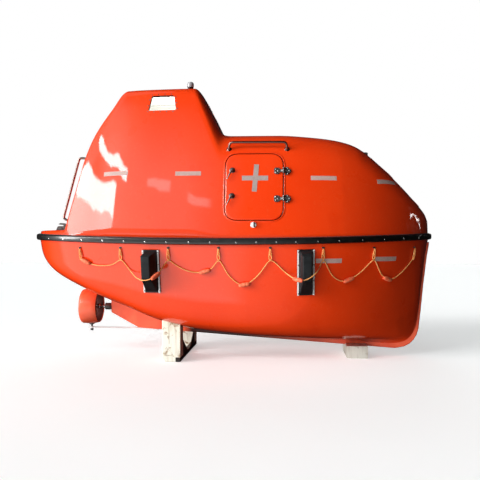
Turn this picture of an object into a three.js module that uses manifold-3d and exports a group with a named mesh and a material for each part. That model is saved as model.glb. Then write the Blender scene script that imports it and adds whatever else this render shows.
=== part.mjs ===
// Enclosed lifeboat of 5 m, parked on its cradle. Millimetres, +X forward, +Y port, +Z up, floor at z = 0.
// The origin is on the floor, under the middle of the boat's length.
import * as THREE from 'three';
import { mergeVertices } from 'three/addons/utils/BufferGeometryUtils.js';
import Module from 'manifold-3d';

const wasm = await Module();
wasm.setup();

// Driving dimensions
const HULL_HALF_LENGTH = 2460;
const HULL_HALF_BEAM = 1060;
const MIDDLE_BODY = 200;          // half-length of the parallel middle
const SHEER_MIDDLE = 1434;        // height of the gunwale joint amidships
const SHEER_RISE = 62;            // how much higher it is at the tips
const SEAT_GAP = 0.3;             // gap between pieces that rest on each other
const DOOR_GAP = 8;               // running gap round a door or hatch
const WALL = 45;                  // canopy wall
const HULL_WALL = 80;             // hull wall at the gunwale
const LEAN = THREE.MathUtils.degToRad(15);   // the canopy's sides lean in
const CANOPY_INSET = 12;          // canopy foot, in from the hull's side
const FENDER = { height: 80, depth: 40 };
const KEEL_WIDTH = 60;
const KEEL_MIDDLE = 234;          // height of the keel's underside amidships
const KEEL_SLOPE = -0.0683;       // it drops towards the bow
const SHAFT_Z = 588;
const NOZZLE_X = -1841;
const FACET_TOLERANCE = 0.05;     // facets that lie flatter than this are merged
const ROUND_OFF = 1e-6;           // coordinates smaller than this are zero
const SIDES = { starboard: 1, port: -1 };    // 1: as modelled, on -Y; -1: mirrored

// Hull sections: x, keel: bottom on the centreline, bilge: height of the bilge corner,
// share: the corner's half-breadth as a share of the gunwale's
const HULL_STATIONS = [
  { x: -2457, keel: 1400, bilge: 1398, share: 0.70 },
  { x: -2436, keel: 1340, bilge: 1336, share: 0.72 },
  { x: -2385, keel: 1255, bilge: 1248, share: 0.74 },
  { x: -2300, keel: 1160, bilge: 1150, share: 0.76 },
  { x: -2170, keel: 1062, bilge: 1050, share: 0.78 },
  { x: -2010, keel: 975, bilge: 963, share: 0.79 },
  { x: -1830, keel: 893, bilge: 882, share: 0.80 },
  { x: -1580, keel: 782, bilge: 774, share: 0.81 },
  { x: -1250, keel: 645, bilge: 655, share: 0.82 },
  { x: -850, keel: 465, bilge: 505, share: 0.82 },
  { x: -400, keel: 335, bilge: 415, share: 0.82 },
  { x: 100, keel: 272, bilge: 368, share: 0.82 },
  { x: 600, keel: 234, bilge: 340, share: 0.80 },
  { x: 1100, keel: 200, bilge: 325, share: 0.75 },
  { x: 1500, keel: 173, bilge: 320, share: 0.68 },
  { x: 1800, keel: 153, bilge: 325, share: 0.59 },
  { x: 2030, keel: 138, bilge: 340, share: 0.48 },
  { x: 2150, keel: 150, bilge: 365, share: 0.40 },
  { x: 2250, keel: 210, bilge: 430, share: 0.33 },
  { x: 2310, keel: 330, bilge: 540, share: 0.30 },
  { x: 2345, keel: 580, bilge: 740, share: 0.32 },
  { x: 2376, keel: 870, bilge: 1000, share: 0.40 },
  { x: 2415, keel: 1220, bilge: 1290, share: 0.52 },
  { x: 2440, keel: 1380, bilge: 1410, share: 0.62 },
  { x: 2457, keel: 1440, bilge: 1450, share: 0.70 },
];

// Canopy sections: x, top: roof on the centreline, corner: shoulder set-back, crown: rise of the roof
const CANOPY_STATIONS = [
  { x: -2450, top: 1548, corner: 18, crown: 4 },
  { x: -2425, top: 1562, corner: 25, crown: 6 },
  { x: -2350, top: 1572, corner: 30, crown: 9 },
  { x: -2180, top: 1577, corner: 34, crown: 11 },
  { x: -1926, top: 1580, corner: 36, crown: 12 },
  { x: -1914, top: 1625, corner: 60, crown: 16 },
  { x: -1902, top: 1690, corner: 80, crown: 22 },
  { x: -1877, top: 1819, corner: 90, crown: 26 },
  { x: -1805, top: 2130, corner: 90, crown: 26 },
  { x: -1730, top: 2455, corner: 85, crown: 26 },
  { x: -1637, top: 2712, corner: 80, crown: 26 },
  { x: -1548, top: 2872, corner: 78, crown: 25 },
  { x: -1406, top: 3083, corner: 78, crown: 24 },
  { x: -1285, top: 3262, corner: 80, crown: 22 },
  { x: -1238, top: 3291, corner: 84, crown: 22 },
  { x: -800, top: 3300, corner: 90, crown: 22 },
  { x: -405, top: 3304, corner: 105, crown: 22 },
  { x: -364, top: 3283, corner: 125, crown: 28 },
  { x: -325, top: 3222, corner: 155, crown: 30 },
  { x: -191, top: 2965, corner: 220, crown: 36 },
  { x: -118, top: 2820, corner: 245, crown: 44 },
  { x: -84, top: 2770, corner: 250, crown: 54 },
  { x: -45, top: 2742, corner: 250, crown: 62 },
  { x: 30, top: 2735, corner: 250, crown: 70 },
  { x: 600, top: 2733, corner: 250, crown: 72 },
  { x: 1000, top: 2707, corner: 245, crown: 72 },
  { x: 1250, top: 2676, corner: 240, crown: 70 },
  { x: 1430, top: 2634, corner: 235, crown: 68 },
  { x: 1540, top: 2588, corner: 225, crown: 64 },
  { x: 1640, top: 2522, corner: 235, crown: 62 },
  { x: 1850, top: 2344, corner: 230, crown: 58 },
  { x: 2100, top: 2108, corner: 195, crown: 50 },
  { x: 2260, top: 1944, corner: 155, crown: 40 },
  { x: 2360, top: 1838, corner: 120, crown: 28 },
  { x: 2415, top: 1768, corner: 80, crown: 20 },
  { x: 2450, top: 1690, corner: 40, crown: 10 },
];

const COLOURS = {
  orange: { color: 0xf0471c, roughness: 0.3, metalness: 0 },
  innerWhite: { color: 0xd9d9d2, roughness: 0.5, metalness: 0 },
  rubber: { color: 0x15171a, roughness: 0.6, metalness: 0 },
  steel: { color: 0xb9bcc0, roughness: 0.25, metalness: 1 },
  bronze: { color: 0xa9783a, roughness: 0.35, metalness: 1 },
  rope: { color: 0xff9a3c, roughness: 0.8, metalness: 0 },
  glass: { color: 0xeef3f4, roughness: 0.1, metalness: 0 },
  engine: { color: 0x4f6b78, roughness: 0.5, metalness: 0.2 },
  cream: { color: 0xefe3ae, roughness: 0.7, metalness: 0 },
  darkSteel: { color: 0x2b2523, roughness: 0.7, metalness: 0.3 },
};
const materials = Object.fromEntries(
  Object.entries(COLOURS).map(([name, values]) => [name, new THREE.MeshStandardMaterial(values)]),
);

const lifeboat = new THREE.Group();

// Solids and meshes

function signedVolume(position, index) {
  const [a, b, c] = [new THREE.Vector3(), new THREE.Vector3(), new THREE.Vector3()];
  let sum = 0;
  for (let i = 0; i < index.length; i += 3) {
    a.fromBufferAttribute(position, index[i]);
    b.fromBufferAttribute(position, index[i + 1]);
    c.fromBufferAttribute(position, index[i + 2]);
    sum += a.dot(b.cross(c));
  }
  return sum;
}

// A closed geometry as a solid, with its faces turned outwards.
function solidOf(geometry) {
  const bare = geometry.clone();
  bare.deleteAttribute('normal');
  bare.deleteAttribute('uv');
  const merged = mergeVertices(bare, 1e-3);
  const position = merged.getAttribute('position');
  const triangles = new Uint32Array(merged.index.array);
  if (signedVolume(position, triangles) < 0) triangles.reverse();
  return new wasm.Manifold(new wasm.Mesh({
    numProp: 3, vertProperties: new Float32Array(position.array), triVerts: triangles,
  }));
}

function geometryOf(solid) {
  const mesh = solid.asOriginal().simplify(FACET_TOLERANCE).getMesh();
  const points = new Float32Array(mesh.numVert * 3);
  for (let i = 0; i < mesh.numVert; i += 1) {
    points.set(mesh.vertProperties.subarray(i * mesh.numProp, i * mesh.numProp + 3), i * 3);
  }
  points.forEach((value, i) => { if (Math.abs(value) < ROUND_OFF) points[i] = 0; });
  const geometry = new THREE.BufferGeometry();
  geometry.setAttribute('position', new THREE.BufferAttribute(points, 3));
  geometry.setIndex(new THREE.BufferAttribute(new Uint32Array(mesh.triVerts), 1));
  geometry.computeVertexNormals();
  return geometry;
}

function mirrored(solid) {
  return solidOf(geometryOf(solid).applyMatrix4(new THREE.Matrix4().makeScale(1, -1, 1)));
}

function add(name, solid, material) {
  const mesh = new THREE.Mesh(geometryOf(solid), materials[material]);
  mesh.name = name;
  lifeboat.add(mesh);
}

// The piece as modelled to starboard, and its mirror image to port.
function addPair(stem, solid, material, suffix = '') {
  for (const [side, sign] of Object.entries(SIDES)) {
    add(`${stem}_${side}${suffix}`, sign > 0 ? solid : mirrored(solid), material);
  }
}

const joined = (...solids) => solids.reduce((all, one) => all.add(one));

// The starboard half and its mirror image, so that both sides have the same facets.
function symmetric(solid) {
  const half = solidOf(geometryOf(solid.intersect(box([-4000, -4000, -1000], [4000, 0, 6000]))));
  return joined(half, mirrored(half));
}

// Shapes

// Closed rings of [x, y, z] with equal counts, skinned and capped with fans.
function loft(rings, closedLoop = false) {
  const count = rings[0].length;
  const points = rings.flat(2);
  const index = [];
  const spans = closedLoop ? rings.length : rings.length - 1;
  for (let i = 0; i < spans; i += 1) {
    const next = (i + 1) % rings.length;
    for (let j = 0; j < count; j += 1) {
      const k = (j + 1) % count;
      const [a, b, c, d] = [i * count + j, i * count + k, next * count + k, next * count + j];
      index.push(a, b, c, a, c, d);
    }
  }
  if (!closedLoop) {
    [0, rings.length - 1].forEach((which, end) => {
      const ring = rings[which];
      const middle = [0, 1, 2].map((axis) => ring.reduce((sum, p) => sum + p[axis], 0) / count);
      const centre = points.length / 3;
      points.push(...middle);
      for (let j = 0; j < count; j += 1) {
        const [a, b] = [which * count + j, which * count + ((j + 1) % count)];
        index.push(centre, ...(end === 0 ? [b, a] : [a, b]));
      }
    });
  }
  const geometry = new THREE.BufferGeometry();
  geometry.setAttribute('position', new THREE.Float32BufferAttribute(points, 3));
  geometry.setIndex(index);
  return solidOf(geometry);
}

function box(low, high) {
  const size = low.map((value, i) => high[i] - value);
  const geometry = new THREE.BoxGeometry(...size);
  geometry.translate(...low.map((value, i) => (value + high[i]) / 2));
  return solidOf(geometry);
}

function cylinder(radius, from, to, sides = 16, endRadius = radius) {
  const [a, b] = [new THREE.Vector3(...from), new THREE.Vector3(...to)];
  const along = b.clone().sub(a);
  const geometry = new THREE.CylinderGeometry(endRadius, radius, along.length(), sides);
  const turn = new THREE.Quaternion().setFromUnitVectors(new THREE.Vector3(0, 1, 0), along.normalize());
  geometry.applyQuaternion(turn);
  geometry.translate(...a.add(b).multiplyScalar(0.5).toArray());
  return solidOf(geometry);
}

function polygon(points) {
  return new THREE.Shape(points.map(([u, v]) => new THREE.Vector2(u, v)));
}

function roundedQuad(corners, radius) {
  const shape = new THREE.Shape();
  const at = corners.map(([u, v]) => new THREE.Vector2(u, v));
  at.forEach((corner, i) => {
    const [before, after] = [at.length - 1, 1].map((step) => {
      const edge = at[(i + step) % at.length].clone().sub(corner);
      return edge.setLength(Math.min(radius, edge.length() * 0.45)).add(corner);
    });
    if (i === 0) shape.moveTo(before.x, before.y);
    else shape.lineTo(before.x, before.y);
    shape.quadraticCurveTo(corner.x, corner.y, after.x, after.y);
  });
  shape.closePath();
  return shape;
}

const roundedBox = (width, height, radius) => roundedQuad([
  [-width / 2, -height / 2], [width / 2, -height / 2],
  [width / 2, height / 2], [-width / 2, height / 2],
], radius);

// A place on the skin: u runs along it, v up it and n out of it.
function place(origin, u, v) {
  const [uAxis, vAxis] = [new THREE.Vector3(...u).normalize(), new THREE.Vector3(...v).normalize()];
  const nAxis = new THREE.Vector3().crossVectors(uAxis, vAxis);
  return new THREE.Matrix4().makeBasis(uAxis, vAxis, nAxis).setPosition(...origin);
}

function prism(shape, inner, outer, matrix, curveSegments = 5) {
  const geometry = new THREE.ExtrudeGeometry(shape, { depth: outer - inner, bevelEnabled: false, curveSegments });
  geometry.translate(0, 0, inner);
  return solidOf(geometry.applyMatrix4(matrix));
}

const local = (matrix, u, v, n) => new THREE.Vector3(u, v, n).applyMatrix4(matrix).toArray();

function tube(points, radius, steps, halfSides = 4) {
  const path = new THREE.CatmullRomCurve3(points.map((p) => new THREE.Vector3(...p)), false, 'centripetal');
  const section = new THREE.Shape();
  section.absarc(0, 0, radius, 0, 2 * Math.PI);
  const geometry = new THREE.ExtrudeGeometry(section, {
    steps, extrudePath: path, curveSegments: halfSides, bevelEnabled: false,
  });
  return solidOf(geometry);
}

// Hull and canopy surfaces

const BOW = { power: 2.6, root: 1.6 };
const STERN = { power: 3.2, root: 2.2 };

function halfBreadth(x) {
  const end = x > 0 ? BOW : STERN;
  const t = THREE.MathUtils.clamp((Math.abs(x) - MIDDLE_BODY) / (HULL_HALF_LENGTH - MIDDLE_BODY), 0, 1);
  return HULL_HALF_BEAM * (1 - t ** end.power) ** (1 / end.root);
}

const sheer = (x) => SHEER_MIDDLE + SHEER_RISE * (x / HULL_HALF_LENGTH) ** 2;
const keelLine = (x) => KEEL_MIDDLE + KEEL_SLOPE * x;

function between(table, x, column) {
  const last = table.length - 1;
  if (x <= table[0].x) return table[0][column];
  if (x >= table[last].x) return table[last][column];
  const i = table.findIndex((row) => row.x > x);
  const [a, b] = [table[i - 1], table[i]];
  return THREE.MathUtils.mapLinear(x, a.x, b.x, a[column], b[column]);
}

// A quadratic curve that rounds the corner between two points.
function rounded(start, corner, end, steps) {
  const curve = new THREE.QuadraticBezierCurve(
    new THREE.Vector2(...start), new THREE.Vector2(...corner), new THREE.Vector2(...end),
  );
  return curve.getPoints(steps).map((p) => [p.x, p.y]);
}

const BILGE_ROUND = 0.42;   // share of the bottom and the side that the bilge's round takes
const mix = (a, b, t) => a.map((value, i) => value + (b[i] - value) * t);

// Half of a hull section, from the keel to the gunwale, as [half-breadth, z].
function hullHalf(x, grow = 0) {
  const breadth = halfBreadth(x) + grow;
  const corner = [breadth * between(HULL_STATIONS, x, 'share'), between(HULL_STATIONS, x, 'bilge') - grow];
  const foot = [0, between(HULL_STATIONS, x, 'keel') - grow];
  const top = [breadth, sheer(x) + grow];
  const round = rounded(mix(corner, foot, BILGE_ROUND), corner, mix(corner, top, BILGE_ROUND), 5);
  return [foot, ...round, mix(corner, top, 0.72), top];
}

const ringOf = (x, half, closing) => [
  ...half.slice(1).reverse().map(([y, z]) => [x, -y, z]),
  ...half.map(([y, z]) => [x, y, z]),
  ...closing.map(([y, z]) => [x, y, z]),
];

const stretched = (x, grow) => x + Math.sign(x) * grow;

function hullSkin(grow = 0) {
  return symmetric(loft(HULL_STATIONS.map(({ x }) => ringOf(
    Math.abs(x) > 2400 ? stretched(x, grow) : x, hullHalf(x, grow), [[0, sheer(x) + grow]],
  ))));
}

// Everything up to the gunwale joint, to trim what stands on it.
function belowGunwale() {
  const tips = HULL_STATIONS.filter((row, i, rows) => i === 0 || i === rows.length - 1);
  const rows = [...HULL_STATIONS, ...tips.map(({ x }) => ({ x: stretched(x, 200) }))];
  rows.sort((a, b) => a.x - b.x);
  return loft(rows.map(({ x }) => {
    const top = sheer(THREE.MathUtils.clamp(x, tips[0].x, tips[1].x)) + SEAT_GAP;
    return [[x, -1500, 0], [x, 1500, 0], [x, 1500, top], [x, -1500, top]];
  }));
}

// The hull's half-breadth at a height, on its side.
function sideAt(x, z) {
  const half = hullHalf(x);
  const i = Math.max(1, half.findIndex((p) => p[1] >= z));
  const [a, b] = [half[i - 1], half[i]];
  return THREE.MathUtils.mapLinear(z, a[1], b[1], a[0], b[0]);
}

const HULL_EDGE = HULL_STATIONS.map(({ x }) => ({ x, breadth: halfBreadth(x) }));
const canopyFoot = (x) => between(HULL_EDGE, x, 'breadth') - CANOPY_INSET;
const canopySide = (x, z) => canopyFoot(x) - Math.tan(LEAN) * (z - sheer(x));

// Half of a canopy section, from its foot to the roof's centreline. taken is how far it lies inside the skin.
function canopyHalf(x, taken = 0) {
  const reach = Math.max(taken, 0);
  const top = Math.min(...[x - reach, x, x + reach].map((at) => between(CANOPY_STATIONS, at, 'top'))) - taken;
  const footZ = sheer(x) - 30;
  const crown = between(CANOPY_STATIONS, x, 'crown');
  const shoulderZ = top - crown;
  const shoulder = Math.max(20, canopySide(x, shoulderZ) - taken / Math.cos(LEAN));
  const foot = [Math.max(22, canopySide(x, footZ) - taken / Math.cos(LEAN)), footZ];
  const set = Math.min(between(CANOPY_STATIONS, x, 'corner'), 0.7 * shoulder, 0.7 * (shoulderZ - footZ));
  const lower = [shoulder + Math.tan(LEAN) * set, shoulderZ - set];
  const roof = (share) => [shoulder * share, top - crown * share ** 2];
  const inner = (shoulder - set) / shoulder;
  return [
    foot, mix(foot, lower, 0.55), ...rounded(lower, [shoulder, shoulderZ], roof(inner), 5),
    roof(inner * 0.6), roof(inner * 0.3), [0, top],
  ];
}

function canopyRing(x, half) {
  const up = half.map(([y, z]) => [x, -y, z]);
  const down = half.slice(0, -1).reverse().map(([y, z]) => [x, y, z]);
  return [...up, ...down, [x, 0, half[0][1]]];
}

const canopySkin = (grow = 0) => symmetric(loft(CANOPY_STATIONS.map(({ x }) => canopyRing(
  Math.abs(x) > 2400 ? stretched(x, grow) : x, canopyHalf(x, -grow),
))));

const INSIDE_AFT = -1828;
const INSIDE_FORWARD = 2290;

function canopyInside() {
  const xs = CANOPY_STATIONS.map(({ x }) => x).filter((x) => x > INSIDE_AFT && x < INSIDE_FORWARD);
  return symmetric(loft([INSIDE_AFT, ...xs, INSIDE_FORWARD].map((x) => {
    const half = canopyHalf(x, WALL);
    half[0] = [half[0][0], sheer(x) - 60];
    return canopyRing(x, half);
  })));
}

// The cabin's sole and sides below the gunwale
const SOLE_Z = 560;
const SOLE_LIFT = 90;      // least thickness of the bottom under the sole
const SOLE_STATIONS = [-1920, -1580, -1250, -850, -400, 100, 600, 1100, 1500, 1800, 2030, 2150];

function hullInside(taken = 0) {
  return symmetric(loft(SOLE_STATIONS.map((x) => {
    const sole = Math.max(SOLE_Z, between(HULL_STATIONS, x, 'keel') + SOLE_LIFT) + taken;
    const widths = [0, 150, 350].map((up) => [Math.max(60, sideAt(x, sole + up) - HULL_WALL - taken), sole + up]);
    const top = [halfBreadth(x) - HULL_WALL - taken, 1700];
    const half = [[0, sole], ...widths, top];
    return ringOf(x, half, [[0, 1700]]);
  })));
}

const hullOuter = hullSkin();
const hullGrown = hullSkin(SEAT_GAP);
const canopyOuter = canopySkin();
const canopyGrown = canopySkin(SEAT_GAP);
const canopyInner = canopyInside();
const onHull = (piece) => piece.subtract(hullGrown);
const onCanopy = (piece) => piece.subtract(canopyGrown);

// Lifeline: eye places along the hull, one bight between each pair
const EYE_Z = 1352;
const EYE_DROP = 112;      // a becket hangs this far below its eye
const EYES = [-1690, -1185, -628, -58, 520, 1106, 1690, 2205];
const ROPE_RADIUS = 6;

// Route, by hand: x, z, and out: how far the rope lies off the hull's side
const ROPE_ROUTE = [
  { x: -1690, z: 1234, out: 10 }, { x: -1560, z: 1172, out: 10 }, { x: -1430, z: 1154, out: 10 },
  { x: -1290, z: 1168, out: 10 }, { x: -1215, z: 1212, out: 10 }, { x: -1185, z: 1232, out: 10 },
  { x: -1156, z: 1206, out: 10 }, { x: -1060, z: 1082, out: 24 }, { x: -952, z: 1019, out: 172 },
  { x: -852, z: 1003, out: 234 }, { x: -740, z: 1047, out: 230 }, { x: -677, z: 1165, out: 24 },
  { x: -645, z: 1215, out: 10 }, { x: -628, z: 1232, out: 10 }, { x: -598, z: 1206, out: 10 },
  { x: -450, z: 1115, out: 10 }, { x: -290, z: 1083, out: 10 }, { x: -150, z: 1120, out: 10 },
  { x: -78, z: 1208, out: 10 }, { x: -58, z: 1232, out: 10 }, { x: 70, z: 1032, out: 10 },
  { x: 215, z: 944, out: 10 }, { x: 370, z: 1042, out: 10 }, { x: 494, z: 1204, out: 10 },
  { x: 520, z: 1232, out: 10 }, { x: 712, z: 1067, out: 28 }, { x: 818, z: 1017, out: 186 },
  { x: 910, z: 1015, out: 229 }, { x: 1012, z: 1081, out: 206 }, { x: 1078, z: 1170, out: 24 },
  { x: 1106, z: 1232, out: 10 }, { x: 1220, z: 1040, out: 10 }, { x: 1340, z: 982, out: 10 },
  { x: 1510, z: 1062, out: 10 }, { x: 1662, z: 1206, out: 10 }, { x: 1690, z: 1232, out: 10 },
  { x: 1800, z: 1040, out: 10 }, { x: 1910, z: 988, out: 10 }, { x: 2060, z: 1080, out: 10 },
  { x: 2205, z: 1234, out: 10 },
];
const ROPE_STEPS = 66;
const FLOATS = [-1628, -736, -215, 225, 822, 1400, 1865];    // x of each float's middle
const FLOAT = { length: 130, radius: 30, tip: 14 };

function lifeline() {
  const at = ROPE_ROUTE.map(({ x, z, out }) => [x, -(sideAt(x, z) + out + ROPE_RADIUS), z]);
  const rope = tube(at, ROPE_RADIUS, ROPE_STEPS);
  const path = new THREE.CatmullRomCurve3(at.map((p) => new THREE.Vector3(...p)), false, 'centripetal');
  const samples = path.getSpacedPoints(800);
  const floats = FLOATS.map((x) => {
    const i = samples.findIndex((p) => p.x >= x);
    const along = samples[i + 4].clone().sub(samples[i - 4]).normalize();
    const out = new THREE.Vector3(0, -(FLOAT.radius - ROPE_RADIUS), 0);
    const middle = samples[i].clone().add(out);
    const end = (share) => middle.clone().addScaledVector(along, share * FLOAT.length).toArray();
    return joined(
      cylinder(FLOAT.tip, end(-0.5), end(-0.12), 8, FLOAT.radius),
      cylinder(FLOAT.radius, end(-0.12), end(0.12), 8),
      cylinder(FLOAT.radius, end(0.12), end(0.5), 8, FLOAT.tip),
    );
  });
  return onHull(joined(rope, ...floats));
}

// Each becket is a plain lug from its eye down to the rope
function beckets() {
  return EYES.flatMap((x) => {
    const y = sideAt(x, EYE_Z - EYE_DROP / 2);
    const lug = box([x - 8, -y - 22, EYE_Z - EYE_DROP], [x + 8, -y + 30, EYE_Z + 20]);
    return [lug, mirrored(lug)];
  });
}

function buildHull() {
  const stockBoss = cylinder(42, [NOZZLE_X, 0, 1000], [NOZZLE_X, 0, 836], 20);
  const shell = hullOuter.subtract(hullInside());
  return joined(shell, stockBoss.subtract(hullInside()), ...beckets());
}

const buildKeel = () => joined(onHull(buildKeelBar()), buildSternTube());

function buildKeelBar(grow = 0) {
  const top = 800;
  const profile = polygon([
    [-1578, top], [-1575, 511], [-1215, keelLine(-1215)], [2049, keelLine(2049)],
    [2163, 115], [2232, 152], [2285, 205], [2322, 270], [2342, 340], [2370, 578], [2398, 867],
    [2445, 1251], [2468, 1380], [2472, 1425], [2400, 1425], [2300, top],
  ]);
  const along = place([0, KEEL_WIDTH / 2, -grow], [1, 0, 0], [0, 0, 1]);
  return prism(profile, -grow, KEEL_WIDTH + grow, along);
}

// The rubber fender round the gunwale joint: a D section swept along both sides
function buildFender() {
  const half = FENDER.height / 2;
  const section = [
    [SEAT_GAP, -half], [FENDER.depth * 0.55, -half], [FENDER.depth * 0.93, -half * 0.55], [FENDER.depth, 0],
    [FENDER.depth * 0.93, half * 0.55], [FENDER.depth * 0.55, half], [SEAT_GAP, half],
  ];
  const outline = HULL_STATIONS.map(({ x }) => [x, halfBreadth(x)]);
  const starboard = outline.map(([x, y]) => new THREE.Vector2(x, -y));
  const port = outline.map(([x, y]) => new THREE.Vector2(x, y)).reverse();
  const path = [...starboard, ...port];
  const rings = path.map((p, i) => {
    const before = path[(i + path.length - 1) % path.length];
    const after = path[(i + 1) % path.length];
    const [a, b] = [p.clone().sub(before).normalize(), after.clone().sub(p).normalize()];
    const tangent = a.clone().add(b).normalize();
    const out = new THREE.Vector2(tangent.y, -tangent.x);
    const stretch = 1 / Math.max(0.6, out.dot(new THREE.Vector2(a.y, -a.x)));
    return section.map(([away, up]) => [
      p.x + out.x * away * stretch, p.y + out.y * away * stretch, sheer(p.x) + up,
    ]);
  });
  return loft(rings, true);
}

// Doors, hatches and windows

const DOOR = { x: 331.5, z: 2059, width: 663, height: 797, radius: 155 };
const doorPlace = place(
  [DOOR.x, -canopySide(DOOR.x, DOOR.z), DOOR.z], [1, 0, 0], [0, Math.sin(LEAN), Math.cos(LEAN)],
);

// Each hatch lies on a slope of the centreline profile: from and to are stations on it.
function slopePlace(from, to, centreX) {
  const rise = new THREE.Vector3(to.x - from.x, 0, to.top - from.top).normalize();
  const z = THREE.MathUtils.mapLinear(centreX, from.x, to.x, from.top, to.top);
  const across = new THREE.Vector3(0, rise.x > 0 ? -1 : 1, 0);
  return place([centreX, 0, z], across.toArray(), rise.toArray());
}

const stationAt = (x) => CANOPY_STATIONS.find((row) => row.x === x);
// hinge: its place on the hatch as u, v and turn; spread: half the distance between its two knuckles
const HATCHES = {
  roof_hatch: {
    at: place([-895, 0, 3292], [1, 0, 0], [0, 1, 0]), width: 520, height: 520, radius: 70,
    hinge: [-264, 0, Math.PI], spread: 150,
  },
  aft_hatch: {
    at: slopePlace(stationAt(-1877), stationAt(-1730), -1810), width: 560, height: 540, radius: 90,
    hinge: [-284, 0, Math.PI], spread: 160,
  },
  bow_hatch: {
    at: slopePlace(stationAt(2100), stationAt(1640), 1830), width: 480, height: 430, radius: 80,
    hinge: [0, 219, Math.PI / 2], spread: 130,
  },
};
const WINDOWS = {
  front: { at: slopePlace(stationAt(-191), stationAt(-325), -254), corners: [[-330, -95], [330, -95], [290, 95], [-290, 95]] },
  aft: { at: slopePlace(stationAt(-1548), stationAt(-1285), -1414), corners: [[-270, -95], [270, -95], [240, 95], [-240, 95]] },
};
const SIDE_WINDOW = { x: -782, z: 3092, corners: [[-172, -98], [172, -98], [135, 98], [-135, 98]] };
const WINDOW_RADIUS = 26;
const sideWindowPlace = place(
  [SIDE_WINDOW.x, -canopySide(SIDE_WINDOW.x, SIDE_WINDOW.z), SIDE_WINDOW.z],
  [1, 0, 0], [0, Math.sin(LEAN), Math.cos(LEAN)],
);

const opening = (spec, extra) => roundedBox(spec.width + 2 * extra, spec.height + 2 * extra, spec.radius + extra);
function panel(spec, matrix) {
  return canopyOuter.intersect(prism(opening(spec, 0), -150, 80, matrix)).subtract(canopyInner);
}

function pane(corners, matrix) {
  const shrunk = corners.map(([u, v]) => [u - Math.sign(u) * SEAT_GAP, v - Math.sign(v) * SEAT_GAP]);
  return prism(roundedQuad(shrunk, WINDOW_RADIUS), -24, -16, matrix);
}

function buildCanopy() {
  const doorHole = prism(opening(DOOR, DOOR_GAP), -150, 90, doorPlace);
  const sideHole = prism(roundedQuad(SIDE_WINDOW.corners, WINDOW_RADIUS), -150, 80, sideWindowPlace);
  const cuts = [doorHole, mirrored(doorHole), sideHole, mirrored(sideHole)];
  for (const hatch of Object.values(HATCHES)) cuts.push(prism(opening(hatch, DOOR_GAP), -150, 90, hatch.at));
  for (const { at, corners } of Object.values(WINDOWS)) {
    cuts.push(prism(roundedQuad(corners, WINDOW_RADIUS), -150, 80, at));
  }
  const pocket = box([HOOK.forward - 120, -90, 1700], [HOOK.forward + 130, 90, 2300]);
  let shell = canopyOuter.subtract(canopyInner);
  for (const cut of cuts) shell = shell.subtract(cut);
  return joined(shell.subtract(pocket), hookWell()).subtract(belowGunwale());
}

// Lifting hooks on the centreline, the forward one in a well
const HOOK = { aft: -2235, forward: 2195 };

function hookWell() {
  const outer = box([HOOK.forward - 160, -130, 1640], [HOOK.forward + 170, 130, 2200]);
  const inner = box([HOOK.forward - 120, -90, 1700], [HOOK.forward + 130, 90, 2300]);
  return outer.intersect(canopyOuter).subtract(inner);
}

function hook(x, base, height) {
  const cheeks = [-1, 1].map((sign) => box([x - 75, sign * 34 - 6, base], [x + 75, sign * 34 + 6, base + height * 0.62]));
  const foot = box([x - 80, -52, base], [x + 80, 52, base + 14]);
  const shape = polygon([[-60, 0.12], [45, 0.12], [58, 0.45], [62, 0.72], [30, 0.97], [-25, 1.0], [-52, 0.86],
    [-30, 0.8], [8, 0.78], [20, 0.62], [8, 0.5], [-50, 0.48]].map(([u, share]) => [u, share * height]));
  const claw = prism(shape, -20, 20, place([x, 0, base], [1, 0, 0], [0, 0, 1]));
  const pin = cylinder(11, [x - 20, -50, base + height * 0.32], [x - 20, 50, base + height * 0.32], 12);
  return joined(foot, ...cheeks, claw, pin);
}

// Door and hatch hardware, in the panel's own frame

const PIN = { out: 28, radius: 6, knuckle: 13, clearance: 0.4, cheek: 15 };
const HINGE = { leaf: 112, base: 80, pad: 9, root: 25 };

// A hinge's own place: u runs from the panel to the canopy, v along the pin.
function hingePlace(matrix, u, v, turn = 0) {
  const shift = new THREE.Matrix4().makeRotationZ(turn).setPosition(u, v, 0);
  return new THREE.Matrix4().multiplyMatrices(matrix, shift);
}

const alongPin = (at, from, to) => [from, to].map((v) => local(at, 0, v, PIN.out));
const hingeQuad = (u0, u1, v, half, radius) => roundedQuad(
  [[u0, v - half], [u1, v - half], [u1, v + half], [u0, v + half]], radius,
);

// The leaf on the panel, which turns with it
function hingeLeaf(at, v) {
  const strap = prism(hingeQuad(-HINGE.leaf, -14, v, 28, 24), -HINGE.root, HINGE.pad, at);
  const neck = prism(hingeQuad(-30, 0, v, 13, 1), 2, PIN.out + 6, at);
  return joined(strap, neck, cylinder(PIN.knuckle, ...alongPin(at, v - 13, v + 13), 14))
    .subtract(cylinder(PIN.radius + PIN.clearance, ...alongPin(at, v - 60, v + 60), 14));
}

// The bracket on the canopy, with a cheek each side of the knuckle
function hingeBracket(at, v) {
  const base = prism(hingeQuad(16, HINGE.base, v, 36, 16), -HINGE.root, HINGE.pad, at);
  const cheekShape = polygon([[14, -HINGE.root], [40, -HINGE.root], [40, PIN.out - 4], [12, PIN.out + 15],
    [0, PIN.out + 15], [0, PIN.out - 15]]);
  const edgeOn = new THREE.Matrix4().makeRotationX(Math.PI / 2);
  const cheeks = [-24, 24].flatMap((step) => {
    const side = new THREE.Matrix4().multiplyMatrices(at, edgeOn.clone().setPosition(0, v + step + 6, 0));
    return [
      prism(cheekShape, 0, 12, side),
      cylinder(PIN.cheek, ...alongPin(at, v + step - 6, v + step + 6), 14),
    ];
  });
  return joined(base, ...cheeks);
}

const hingePin = (at, low, high) => cylinder(PIN.radius, ...alongPin(at, low - 33, high + 33), 14);

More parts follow.
